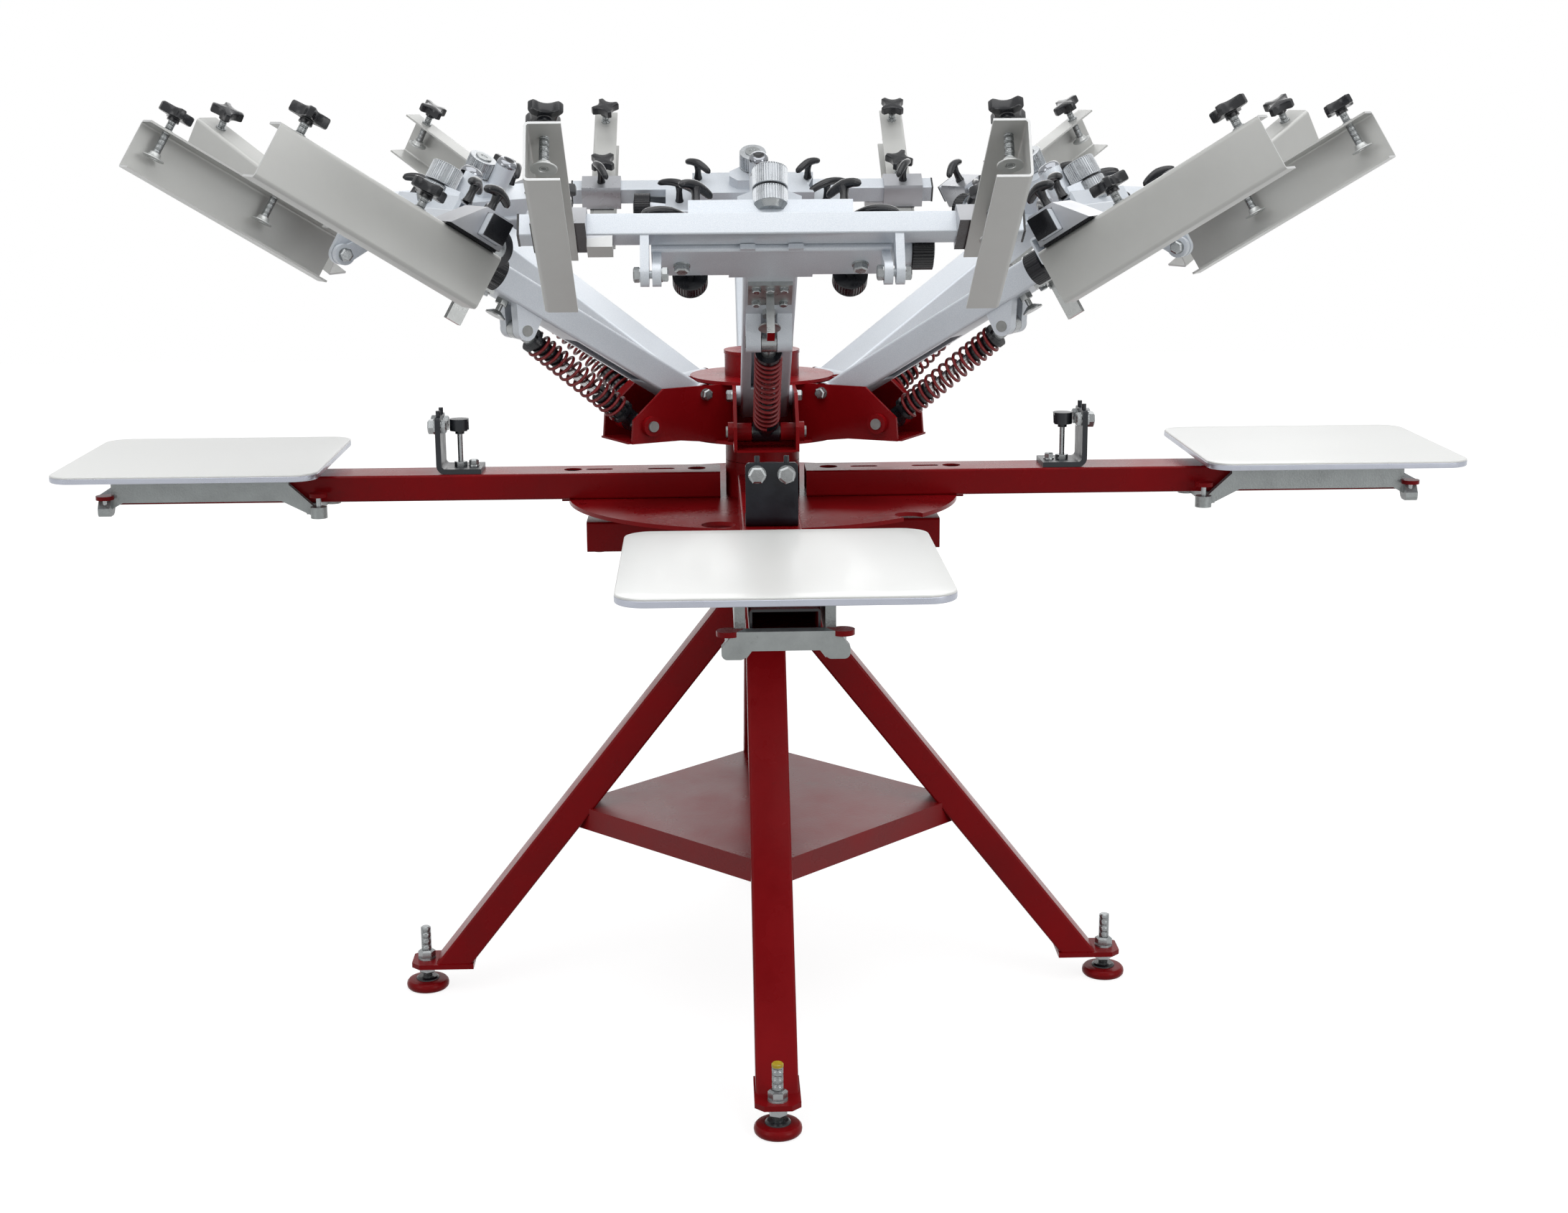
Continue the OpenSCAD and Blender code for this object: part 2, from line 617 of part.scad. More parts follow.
module crossbar(i) at_head(i) {
    half = bar_s / 2;
    face = bar_u - half;
    box_end = tbox_u + tbox_d;
    knob_u = tbox_u + tbox_d / 2;
    knob_v = (head_low + head_top) / 2;
    shelf_v = head_top + 33;
    color(paint_silver) {
        difference() {
            bar_y(-bar_l / 2 + 3, bar_l / 2 - 3, face, face + bar_s, bar_v - half, bar_v + half, edge_r / 2);
            block([face + wall, -bar_l / 2, bar_v - half + wall],
                [face + bar_s - wall, bar_l / 2, bar_v + half - wall]);
        }
        hinge_lugs(154, bar_u - 13, bar_u + 13, bar_v - half + eps);
        // bent carrier plate on the T-box
        side_plate(-105, 105) difference() {
            translate([446, head_top]) square([62, shelf_v - head_top]);
            translate([452, head_top - 1]) square([50, shelf_v - head_top - 5]);
        }
        // pointed yoke behind the height wheels
        translate([0, 0, shelf_v - eps]) linear_extrude(18) polygon([[456, -28], [470, -42], [484, -42],
            [502, -18], [502, 18], [484, 41], [470, 41], [456, 27]]);
        translate([462, -9, shelf_v]) {
            cylinder(d = 33, h = 57);
            translate([0, 0, 56]) cylinder(d1 = 33, d2 = 26, h = 6);
            translate([0, 0, 61]) cylinder(d1 = 27, d2 = 12, h = 5);
        }
        // collar of the side-shift knob
        across(knob_u, knob_v, 45, tbox_l / 2, tbox_l / 2 + 27);
    }
    color(zinc) {
        translate([500, 0, shelf_v - 14]) cylinder(d1 = 36, d2 = 46, h = 8);
        translate([500, 0, shelf_v - 6]) cylinder(d = 46, h = 22);
        translate([500, 0, shelf_v + 16]) cylinder(d = 38, h = 3);
        translate([500, 0, shelf_v + 19]) cylinder(d = 46, h = 28);
        for (side = [-1, 1]) mirror([0, side > 0 ? 0 : 1, 0]) {
            across(hinge_u, hinge_v, 10, 131, 172);
            for (y = [134, 169]) across(hinge_u, hinge_v, 16, y - 3, y + 3);
        }
    }
    color(plastic) {
        for (side = [-1, 1]) {
            y0 = side > 0 ? bar_l / 2 - 3 : -bar_l / 2;
            block([face, y0, bar_v - half], [face + bar_s, y0 + 3, bar_v + half]);
            // the small and the large lock handle, and the knob behind the T-box
            translate([491, side * 95, shelf_v - eps]) rotate(side * 49) t_handle(56, 26);
            translate([471, side * 128, head_top - eps]) rotate(side * 62) t_handle(86, 32);
            translate([tbox_u, side * 104, head_low + 9]) rotate([0, -90, 0]) {
                cylinder(d = 14, h = 12);
                translate([0, 0, 12]) cylinder(d = 46, h = 23);
            }
        }
        across(knob_u, knob_v, 56, tbox_l / 2 + 27, tbox_l / 2 + 55);
    }
}

// screw of a clamp, from the channel's top face: a swivel foot inside, a stem and a knob above
module clamp_screw() {
    foot_low = -45;
    color(zinc) {
        translate([0, 0, foot_low]) cylinder(d = 34, h = 2);
        translate([0, 0, foot_low + 2 - eps]) cylinder(d1 = 33, d2 = 16, h = 5);
        translate([0, 0, foot_low + 6]) cylinder(d = screw_d, h = -chan_t - eps - foot_low - 6);
        translate([0, 0, eps]) cylinder(d = 2 * screw_d, h = 3);
        translate([0, 0, 2]) cylinder(d = screw_d, h = 18);
    }
    color(plastic) translate([0, 0, 22]) star_knob();
}

// a channel's section, with its web on the right and rounded bends
module channel_section(size, r) {
    square([size.x - r, size.y]);
    translate([0, r]) square([size.x, size.y - 2 * r]);
    for (y = [r, size.y - r]) translate([size.x - r, y]) circle(r);
}

// channel that grips a screen frame, hung from the crossbar by a square sleeve
module clamp(i, side) at_head(i) mirror([0, side > 0 ? 0 : 1, 0]) {
    half = bar_s / 2 + slide_gap;
    inner = chan_y - chan_f;
    centre = (inner + chan_y) / 2;
    bend = 2 * chan_t;
    pad = 2;
    color(aluminium) {
        translate([chan_u, inner, chan_low]) rotate([90, 0, 90]) linear_extrude(chan_l) difference() {
            channel_section([chan_f, chan_h], bend);
            translate([-1, chan_t]) channel_section([chan_f - chan_t + 1, chan_h - 2 * chan_t], bend - chan_t);
        }
        difference() {
            side_plate(inner - sleeve_over, chan_y + sleeve_over) polygon([[bar_u - 23, chan_top + pad],
                [bar_u - 22, bar_v + 14], [bar_u - 18, bar_v + 21], [bar_u + 19, bar_v + 21],
                [bar_u + 27, bar_v + 12], [bar_u + 54, chan_top + pad]]);
            block([bar_u - half, inner - 20, bar_v - half], [bar_u + half, chan_y + 20, bar_v + half]);
        }
    }
    color(plastic) {
        block([bar_u - 23, inner, chan_top], [bar_u + 54, chan_y, chan_top + pad]);
        translate([bar_u, centre, bar_v + 21 + eps]) rotate(25) t_handle(52, 24);
    }
    // only the left clamp has a stop block on the inner end of its sleeve
    if (side < 0) color(aluminium) translate([0, inner - sleeve_over - 32, 0])
        block([bar_u - 14, 0, bar_v - half - 16], [bar_u + 14, 32, bar_v - half]);
    for (u = [chan_u + 120, chan_u + 298]) translate([u, centre, chan_top]) clamp_screw();
}

// ---------------------------------------------------------------- struts

module strut_eye(width) difference() {
    union() {
        across(0, 0, 28, -width / 2, width / 2);
        rotate([0, 90, 0]) cylinder(d = min(plug_d, width), h = seat_x - 6);
    }
    across(0, 0, pin_d + 2 * fit, -width, width);
}

// lower half: eye, plug, spring seat and the guide rod
module strut_rod(i) at_strut(i) {
    color(plastic) difference() {
        union() {
            strut_eye(38);
            translate([seat_x - 6, 0, 0]) rotate([0, 90, 0]) cylinder(d = coil_d - 3, h = 6);
            translate([seat_x - eps, 0, 0]) rotate([0, 90, 0]) cylinder(d = plug_d, h = plug_x - seat_x);
        }
        across(0, 0, pin_d + 2 * fit, -30, 30);
    }
    color(zinc) translate([plug_x, 0, 0]) rotate([0, 90, 0]) cylinder(d = rod_d, h = rod_end - plug_x);
}

// upper half: eye, spring seat and the plug that the rod slides into
module strut_cup(i) at_strut(i) translate([strut_l, 0, 0]) mirror([1, 0, 0]) color(plastic) difference() {
    union() {
        strut_eye(20);
        translate([seat_x - 6, 0, 0]) rotate([0, 90, 0]) cylinder(d = coil_d - 3, h = 6);
        translate([seat_x - eps, 0, 0]) rotate([0, 90, 0]) cylinder(d = plug_d, h = plug_x - seat_x);
    }
    translate([26, 0, 0]) rotate([0, 90, 0]) cylinder(d = cup_d, h = plug_x);
}

// points of the wire's surface: a ring of sides round each point of the helix
function coil_point(r, pitch_angle, length, turn) =
    let (a = 360 * turn) [length * turn / coil_turns, r * cos(a), r * sin(a)];

module coil_wire(length) {
    steps = coil_turns * 12;
    sides = 6;
    r = (coil_d - wire_d) / 2;
    rise = atan2(length / coil_turns, 2 * PI * r);
    rings = [for (k = [0 : steps], s = [0 : sides - 1])
        let (turn = k / 12, a = 360 * turn, b = 360 * s / sides,
            centre = coil_point(r, rise, length, turn),
            out = [0, cos(a), sin(a)],
            side = [cos(rise), sin(rise) * sin(a), -sin(rise) * cos(a)])
        centre + wire_d / 2 * (cos(b) * out + sin(b) * side)];
    walls = [for (k = [0 : steps - 1], s = [0 : sides - 1])
        let (a = k * sides + s, b = k * sides + (s + 1) % sides)
        each [[a, b, b + sides], [a, b + sides, a + sides]]];
    start = [for (s = [sides - 1 : -1 : 0]) s];
    finish = [for (s = [0 : sides - 1]) steps * sides + s];
    polyhedron(rings, concat(walls, [start, finish]), convexity = 10);
}

module spring(i) at_strut(i) color("crimson")
    translate([seat_x + wire_d / 2 + 0.3, 0, 0]) coil_wire(strut_l - 2 * seat_x - wire_d - 0.6);

stand_frame();
shelf_tray();
foot(0);  // foot_front
foot(90);  // foot_right
foot(180);  // foot_back
foot(270);  // foot_left
index_disc();
platen_arms();
gate_brackets();
platen(0);  // platen_front
platen(90);  // platen_right
platen(180);  // platen_back
platen(270);  // platen_left
platen_bracket(0);  // bracket_front
platen_bracket(90);  // bracket_right
platen_bracket(180);  // bracket_back
platen_bracket(270);  // bracket_left
head_hub();
for (i = [1 : 6]) {
    head_arm(i);
    crossbar(i);
    clamp(i, -1);
    clamp(i, 1);
    strut_rod(i);
    strut_cup(i);
    spring(i);
}
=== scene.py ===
"""A six-head, four-station screen printing press on a four-leg stand, dressed around its CAD frame."""

import math

import bmesh
import bpy
from mathutils import Matrix, Vector


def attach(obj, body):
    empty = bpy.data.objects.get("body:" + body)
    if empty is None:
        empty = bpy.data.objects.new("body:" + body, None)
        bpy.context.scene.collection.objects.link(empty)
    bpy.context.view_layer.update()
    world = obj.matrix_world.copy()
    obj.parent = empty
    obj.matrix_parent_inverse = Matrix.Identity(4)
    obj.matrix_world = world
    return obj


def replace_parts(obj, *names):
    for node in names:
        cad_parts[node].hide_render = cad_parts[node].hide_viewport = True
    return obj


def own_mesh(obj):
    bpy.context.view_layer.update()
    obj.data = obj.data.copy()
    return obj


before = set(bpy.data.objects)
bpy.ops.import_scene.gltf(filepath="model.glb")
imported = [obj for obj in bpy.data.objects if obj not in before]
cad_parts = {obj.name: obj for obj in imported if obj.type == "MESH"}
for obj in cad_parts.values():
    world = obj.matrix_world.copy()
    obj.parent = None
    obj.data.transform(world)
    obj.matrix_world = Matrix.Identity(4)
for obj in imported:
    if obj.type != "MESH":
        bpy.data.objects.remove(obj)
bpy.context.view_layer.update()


# ---------------------------------------------------------------- camera
# A 51 mm lens 1.4 m above the floor, looking slightly down on the press from the front,
# with one platen station square to the viewer.

eye = Vector((-0.0823, -3.4093, 1.405))
yaw, pitch, roll = 0.0334, -0.2245, -0.0067

forward = Vector((math.sin(yaw) * math.cos(pitch), math.cos(yaw) * math.cos(pitch), math.sin(pitch)))
level = Vector((math.cos(yaw), -math.sin(yaw), 0))
upright = level.cross(forward)
right = math.cos(roll) * level + math.sin(roll) * upright
up = -math.sin(roll) * level + math.cos(roll) * upright

camera = bpy.data.objects.new("camera", bpy.data.cameras.new("camera"))
bpy.context.scene.collection.objects.link(camera)
camera.data.sensor_width = 36
camera.data.lens = 51.1
turn = Matrix((right, up, -forward)).transposed().to_4x4()
camera.matrix_world = Matrix.Translation(eye) @ turn
bpy.context.scene.camera = camera


# ---------------------------------------------------------------- studio
# A white floor and background that a camera sees as paper white, and soft lamps: a wide
# bank overhead, weaker ones in front on each side and behind, and the white room around them.

room_light = 0.42
floor_glow = 0.86
white = (1, 1, 1, 1)

bpy.context.scene.view_settings.view_transform = "Standard"


def wire(tree, *links):
    """joins sockets, each link given as (from node, from socket, to node, to socket)"""
    for from_node, from_socket, to_node, to_socket in links:
        tree.links.new(from_node.outputs[from_socket], to_node.inputs[to_socket])


def dial(node, **values):
    """sets a node's inputs, named with _ for a space, and gives the node back"""
    for socket, value in values.items():
        node.inputs[socket.replace("_", " ")].default_value = value
    return node


def maths(tree, operation, *terms):
    """a Math node, whose terms are numbers, nodes or (node, output) pairs"""
    step = tree.nodes.new("ShaderNodeMath")
    step.operation = operation
    for place, term in enumerate(terms):
        if isinstance(term, (int, float)):
            step.inputs[place].default_value = term
        else:
            node, output = term if isinstance(term, tuple) else (term, 0)
            tree.links.new(node.outputs[output], step.inputs[place])
    return step


def seen_directly(tree):
    """1 for a ray from the camera, a mirror-like surface or glass, 0 for light on the press"""
    path = tree.nodes.new("ShaderNodeLightPath")
    first = maths(tree, "MAXIMUM", (path, "Is Camera Ray"), (path, "Is Glossy Ray"))
    return maths(tree, "MAXIMUM", first, (path, "Is Transmission Ray"))


def studio_world():
    """white wherever it is seen or mirrored, and a dimmer room, darker below, as a light"""
    world = bpy.data.worlds.new("white_room")
    world.use_nodes = True
    tree = world.node_tree
    tree.nodes.clear()
    add = tree.nodes.new
    place, split, shade = add("ShaderNodeTexCoord"), add("ShaderNodeSeparateXYZ"), add("ShaderNodeValToRGB")
    height = dial(add("ShaderNodeMapRange"), From_Min=-1)
    for end, position, grey in ((0, 0.35, 0.16), (1, 0.85, 1)):
        shade.color_ramp.elements[end].position = position
        shade.color_ramp.elements[end].color = (grey, grey, grey, 1)
    room = dial(add("ShaderNodeBackground"), Strength=room_light)
    seen = dial(add("ShaderNodeBackground"), Color=white)
    mix, out = add("ShaderNodeMixShader"), add("ShaderNodeOutputWorld")
    wire(tree, (place, "Generated", split, 0), (split, "Z", height, 0), (height, 0, shade, 0),
         (shade, "Color", room, "Color"), (seen_directly(tree), 0, mix, 0), (room, 0, mix, 1),
         (seen, 0, mix, 2), (mix, 0, out, 0))
    bpy.context.scene.world = world


def studio_floor():
    """a pale sheet that is white where it is seen, but for the press's own soft shadow"""
    reach = 9
    mesh = bpy.data.meshes.new("floor")
    mesh.from_pydata([(-reach, -reach, 0), (reach, -reach, 0), (reach, reach, 0), (-reach, reach, 0)],
                     [], [(0, 1, 2, 3)])
    floor = bpy.data.objects.new("floor", mesh)
    bpy.context.scene.collection.objects.link(floor)
    paper = bpy.data.materials.new("paper_floor")
    paper.use_nodes = True
    tree = paper.node_tree
    add = tree.nodes.new
    shader = dial(tree.nodes["Principled BSDF"], Base_Color=(0.3, 0.3, 0.3, 1), Roughness=0.9,
                  Specular_IOR_Level=0)
    place, away = add("ShaderNodeTexCoord"), add("ShaderNodeVectorMath")
    away.operation = "LENGTH"
    rise = dial(add("ShaderNodeMapRange"), From_Min=1.0, From_Max=3.5, To_Min=floor_glow, To_Max=1.0)
    glow, dark = add("ShaderNodeEmission"), dial(add("ShaderNodeEmission"), Strength=0)
    mix, both = add("ShaderNodeMixShader"), add("ShaderNodeAddShader")
    wire(tree, (place, "Object", away, 0), (away, "Value", rise, 0), (rise, 0, glow, "Strength"),
         (seen_directly(tree), 0, mix, 0), (dark, 0, mix, 1), (glow, 0, mix, 2), (shader, 0, both, 0),
         (mix, 0, both, 1), (both, 0, tree.nodes["Material Output"], 0))
    mesh.materials.append(paper)


def lamp(name, place, aim, width, height, watts):
    """a soft rectangular lamp that faces a point"""
    light = bpy.data.lights.new(name, "AREA")
    light.shape = "RECTANGLE"
    light.size, light.size_y = width, height
    light.energy = watts
    holder = bpy.data.objects.new(name, light)
    bpy.context.scene.collection.objects.link(holder)
    holder.location = place
    holder.rotation_euler = (Vector(aim) - Vector(place)).to_track_quat("-Z", "Y").to_euler()


studio_world()
studio_floor()
lamp("bank_above", (0.2, -0.9, 3.6), (0, 0, 0.9), 4.2, 3.2, 70)
lamp("bank_left", (-3.4, -2.9, 2.0), (0, 0, 0.9), 1.8, 2.4, 29)
lamp("bank_right", (3.3, -3.2, 1.7), (0, 0, 0.8), 1.8, 2.2, 42)
lamp("bank_behind", (0.4, 3.6, 2.6), (0, 0, 1.0), 3.0, 1.6, 26)


# ---------------------------------------------------------------- stand
# Four leaning square legs under a cross of beams and a fixed centre shaft, with a plate on
# each leg's end for its levelling stud. Mild steel, sprayed dark crimson over the welds.

def finish(name, colour, rough, metal=0.0, gloss=0.5, coat=0.0, mottle=0.12, mottle_scale=6.0,
           grain=0.0, grain_scale=180.0, grain_stretch=(1, 1, 1), rough_spread=0.08, fleck=0.0, wear_and_sheen=None):
    """a finish whose tone, gloss and surface vary as the real one's do; scales are per metre"""
    made = bpy.data.materials.new(name)
    made.use_nodes = True
    tree = made.node_tree
    add = tree.nodes.new
    shader = dial(tree.nodes["Principled BSDF"], Metallic=metal, Specular_IOR_Level=gloss,
                  Coat_Weight=coat, Coat_Roughness=0.08)
    place = add("ShaderNodeTexCoord")
    cloud = dial(add("ShaderNodeTexNoise"), Scale=mottle_scale, Detail=5, Roughness=0.62)
    tone = add("ShaderNodeValToRGB")
    for end, position, share in ((0, 0.3, 1 - mottle), (1, 0.7, 1 + mottle)):
        tone.color_ramp.elements[end].position = position
        tone.color_ramp.elements[end].color = (*[min(c * share, 1) for c in colour], 1)
    spread = dial(add("ShaderNodeMapRange"), From_Min=0.3, From_Max=0.7,
                  To_Min=max(rough - rough_spread, 0.02), To_Max=rough + rough_spread)
    stretch = dial(add("ShaderNodeMapping"), Scale=grain_stretch)
    fine = dial(add("ShaderNodeTexNoise"), Scale=grain_scale, Detail=3)
    bump = dial(add("ShaderNodeBump"), Strength=grain, Distance=0.001)
    wire(tree, (place, "Object", cloud, "Vector"), (cloud, 0, tone, 0), (cloud, 0, spread, 0),
         (spread, 0, shader, "Roughness"), (place, "Object", stretch, "Vector"),
         (stretch, 0, fine, "Vector"), (fine, 0, bump, "Height"), (bump, 0, shader, "Normal"))
    paint = tone, 0

    def over(shade, low, high, amount, second):
        """lays a second colour over the first where a shade runs from low to high"""
        level = dial(add("ShaderNodeMapRange"), From_Min=low, From_Max=high, To_Max=amount)
        mix = add("ShaderNodeMix")
        mix.data_type = "RGBA"
        first_input, second_input, result = 6, 7, 2
        mix.inputs[second_input].default_value = (*second, 1)
        wire(tree, (shade, 0, level, 0), (level, 0, mix, 0), (*paint, mix, first_input))
        return mix, result

    if fleck:
        # the sparkle of the metal flakes in the paint
        paint = over(fine, 0.42, 0.62, fleck, (1, 1, 1))
    if wear_and_sheen:
        # scuffs and rubbed dust, in patches that a second noise breaks up; on the tray these paler patches
        # are also a painted sheen
        scuff_and_sheen_colour, share = wear_and_sheen
        patch = dial(add("ShaderNodeTexNoise"), Scale=21, Detail=8, Roughness=0.72)
        wire(tree, (place, "Object", patch, "Vector"))
        paint = over(patch, 0.66 - share, 0.80 - share, 0.8, scuff_and_sheen_colour)
    wire(tree, (*paint, shader, "Base Color"))
    return made


crimson = finish("crimson_gloss", (0.235, 0.0044, 0.0068), 0.27, gloss=0.09, mottle=0.14, mottle_scale=7,
                 grain=0.16, grain_scale=230, wear_and_sheen=((0.13, 0.010, 0.010), 0.02))
# the tray's paler patches are rubbed dust and also a painted sheen, where light glances off its top
tray_paint = finish("tray_crimson", (0.225, 0.0047, 0.0072), 0.30, gloss=0.22, mottle=0.14, mottle_scale=7,
                    grain=0.16, grain_scale=230, wear_and_sheen=((0.15, 0.030, 0.028), 0.03))
zinc = finish("bright_zinc", (0.31, 0.325, 0.33), 0.28, metal=0.85, mottle=0.14, mottle_scale=60,
              grain=0.10, grain_scale=420)
black_oxide = finish("black_coated_steel", (0.010, 0.013, 0.018), 0.36, gloss=0.4, mottle=0.3,
                     mottle_scale=30, grain=0.10, grain_scale=350)
plastic = finish("moulded_black_plastic", (0.008, 0.009, 0.012), 0.26, gloss=0.45, mottle=0.25,
                 mottle_scale=40, grain=0.06, grain_scale=600)
dull_steel = finish("dull_steel", (0.22, 0.225, 0.22), 0.42, metal=0.6, mottle=0.2, mottle_scale=80,
                    grain=0.12, grain_scale=300)


def solid_copy(node):
    """a CAD solid's mesh with its loose triangles joined"""
    bm = bmesh.new()
    bm.from_mesh(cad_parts[node].data)
    bmesh.ops.remove_doubles(bm, verts=bm.verts, dist=2e-6)
    bm.normal_update()
    return bm


def shade_by_angle(bm, sharp=33):
    """smooth faces, with a crease wherever they turn by more than the sharp angle"""
    for face in bm.faces:
        face.smooth = True
    for edge in bm.edges:
        edge.smooth = len(edge.link_faces) == 2 and edge.calc_face_angle(0) < math.radians(sharp)


def as_mesh(bm, name, *coats):
    """closes a bmesh into a mesh with its finishes"""
    mesh = bpy.data.meshes.new(name)
    bm.to_mesh(mesh)
    bm.free()
    for one in coats:
        mesh.materials.append(one)
    return mesh


def as_piece(name, bm, body, finishes):
    """closes a bmesh into a named piece that rides on a body"""
    shade_by_angle(bm)
    piece = bpy.data.objects.new(name, as_mesh(bm, name, *finishes))
    bpy.context.scene.collection.objects.link(piece)
    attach(piece, body)
    return piece


def drop_faces(bm, spare):
    """takes faces off a solid and closes the holes that they leave, without doubling any face"""
    bmesh.ops.delete(bm, geom=spare, context="FACES")
    rims = [e for e in bm.edges if len(e.link_faces) == 1]
    filled = bmesh.ops.holes_fill(bm, edges=rims, sides=0)["faces"]
    bmesh.ops.triangulate(bm, faces=filled)
    by_corners = {}
    for face in bm.faces:
        by_corners.setdefault(frozenset(face.verts), []).append(face)
    doubled = [face for same in by_corners.values() if len(same) > 1 for face in same]
    bmesh.ops.delete(bm, geom=doubled, context="FACES")
    bmesh.ops.recalc_face_normals(bm, faces=bm.faces)


def skin(node, body, finishes, choose=None, places=(Matrix(),)):
    """the shown copy of a solid: choose gives each face's finish from its centre and normal, in
    millimetres in the frame that it lies furthest out in, or None where a finer piece stands"""
    bm = solid_copy(node)
    frames = [(place.inverted(), place.to_3x3().inverted()) for place in places]
    spare = []
    for face in bm.faces if choose else ():
        centre = face.calc_center_median()
        inward, turn_back = max(frames, key=lambda pair: (pair[0] @ centre).x)
        pick = choose(1000 * (inward @ centre), turn_back @ face.normal)
        if pick is None:
            spare.append(face)
        else:
            face.material_index = pick
    if spare:
        drop_faces(bm, spare)
    piece = as_piece(node + "_skin", bm, body, finishes)
    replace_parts(piece, node)
    return piece


def turned(angle, axis="Z"):
    """a turn, in degrees"""
    return Matrix.Rotation(math.radians(angle), 4, axis)


def station(angle):
    """the frame of a station: X outwards, Y across it, Z up"""
    return turned(angle - 90)


def near(point, x, y, radius):
    """whether a point, seen along Z, is within a radius of a place"""
    return math.hypot(point.x - x, point.y - y) < radius


foot_r, foot_plate_top, foot_plate_t, nut_reach = 551.0, 50.0, 8.0, 20.0
sides = (("front", 0), ("right", 90), ("back", 180), ("left", 270))
stations = [station(angle) for side, angle in sides]


def stand_finish(point, normal):
    """drops the plain nuts on a foot plate, whose chamfered ones come with the foot"""
    clear = 0.05
    off_plate = point.z > foot_plate_top + clear or point.z < foot_plate_top - foot_plate_t - clear
    return None if near(point, foot_r, 0, nut_reach) and off_plate else 0


skin("stand_frame", "stand", [crimson], stand_finish, stations)
skin("shelf_tray", "stand", [tray_paint])


# ---------------------------------------------------------------- levelling feet
# Turned steel pads, painted with the stand, on zinc-plated M16 studs that screw up through
# the foot plates and are locked by a nut above and below.

def new_tree(name, sizes, counts=()):
    """an empty tree of nodes, with an input for each size, each count and the finish"""
    tree = bpy.data.node_groups.new(name, "GeometryNodeTree")
    face = tree.interface
    for way in ("OUTPUT", "INPUT"):
        face.new_socket("Geometry", in_out=way, socket_type="NodeSocketGeometry")
    for kind, inputs in (("Float", sizes), ("Int", counts)):
        for label, value in inputs:
            face.new_socket(label, in_out="INPUT", socket_type="NodeSocket" + kind).default_value = value
    face.new_socket("Finish", in_out="INPUT", socket_type="NodeSocketMaterial")
    return tree, tree.nodes.new("NodeGroupInput"), tree.nodes.new("NodeGroupOutput")


def end_tree(tree, enter, leave, shape):
    """ends a tree with real geometry in the finish that was asked for"""
    solid, paint = tree.nodes.new("GeometryNodeRealizeInstances"), tree.nodes.new("GeometryNodeSetMaterial")
    wire(tree, (shape, 0, solid, 0), (solid, 0, paint, 0), (enter, "Finish", paint, "Material"),
         (paint, 0, leave, 0))
    return tree


def winding_tree():
    """a round wire wound along Z, for a thread or a spring, whose end turns can lie closer"""
    tree, enter, leave = new_tree("winding", (("Radius", 0.008), ("Length", 0.08), ("Turns", 40),
                                  ("Wire radius", 0.001), ("Closing", 0)), (("Steps", 14), ("Sides", 4)))
    add = tree.nodes.new
    helix, profile = add("GeometryNodeCurveSpiral"), add("GeometryNodeCurvePrimitiveCircle")
    tube = dial(add("GeometryNodeCurveToMesh"), Fill_Caps=True)
    place, parts = add("GeometryNodeInputPosition"), add("ShaderNodeSeparateXYZ")
    new_place, move = add("ShaderNodeCombineXYZ"), add("GeometryNodeSetPosition")
    full_turn = 2 * math.pi
    share = maths(tree, "DIVIDE", (parts, "Z"), (enter, "Length"))
    wave = maths(tree, "SINE", maths(tree, "MULTIPLY", share, full_turn))
    closing = maths(tree, "MULTIPLY", maths(tree, "MULTIPLY", wave, 1 / full_turn), (enter, "Closing"))
    height = maths(tree, "SUBTRACT", (parts, "Z"), maths(tree, "MULTIPLY", closing, (enter, "Length")))
    wire(tree, (enter, "Steps", helix, "Resolution"), (enter, "Turns", helix, "Rotations"),
         (enter, "Radius", helix, "Start Radius"), (enter, "Radius", helix, "End Radius"),
         (enter, "Length", helix, "Height"), (place, 0, parts, 0), (parts, "X", new_place, "X"),
         (parts, "Y", new_place, "Y"), (height, 0, new_place, "Z"), (helix, 0, move, 0),
         (new_place, 0, move, "Position"), (enter, "Sides", profile, "Resolution"),
         (enter, "Wire radius", profile, "Radius"), (move, 0, tube, 0), (profile, 0, tube, 1))
    return end_tree(tree, enter, leave, tube)


def grown(tree, points=(), normals=(), **sizes):
    """the mesh that a tree of nodes makes, from points with an outward direction each; sizes are
    the tree's inputs, named with _ for a space"""
    seed = bpy.data.meshes.new("seed")
    seed.from_pydata([tuple(p) for p in points], [], [])
    if normals:
        out = seed.attributes.new("out", "FLOAT_VECTOR", "POINT")
        out.data.foreach_set("vector", [c for n in normals for c in n])
    holder = bpy.data.objects.new("seed", seed)
    bpy.context.scene.collection.objects.link(holder)
    made = holder.modifiers.new("grow", "NODES")
    made.node_group = tree
    for item in tree.interface.items_tree:
        label = item.name.replace(" ", "_")
        if item.in_out == "INPUT" and label in sizes:
            made[item.identifier] = sizes[label]
    bpy.context.view_layer.update()
    shown = holder.evaluated_get(bpy.context.evaluated_depsgraph_get())
    mesh = bpy.data.meshes.new_from_object(shown)
    holder.modifiers.remove(made)
    bpy.data.objects.remove(holder)
    return mesh


def gather(name, meshes, body):
    """joins placed meshes into one piece; each entry is (mesh, place)"""
    bm = bmesh.new()
    slots = []
    for mesh, place in meshes:
        copy = mesh.copy()
        copy.transform(place)
        marks = []
        for one in copy.materials:
            if one not in slots:
                slots.append(one)
            marks.append(slots.index(one))
        if marks:
            for polygon in copy.polygons:
                polygon.material_index = marks[polygon.material_index]
        bm.from_mesh(copy)
        bpy.data.meshes.remove(copy)
    return as_piece(name, bm, body, slots)


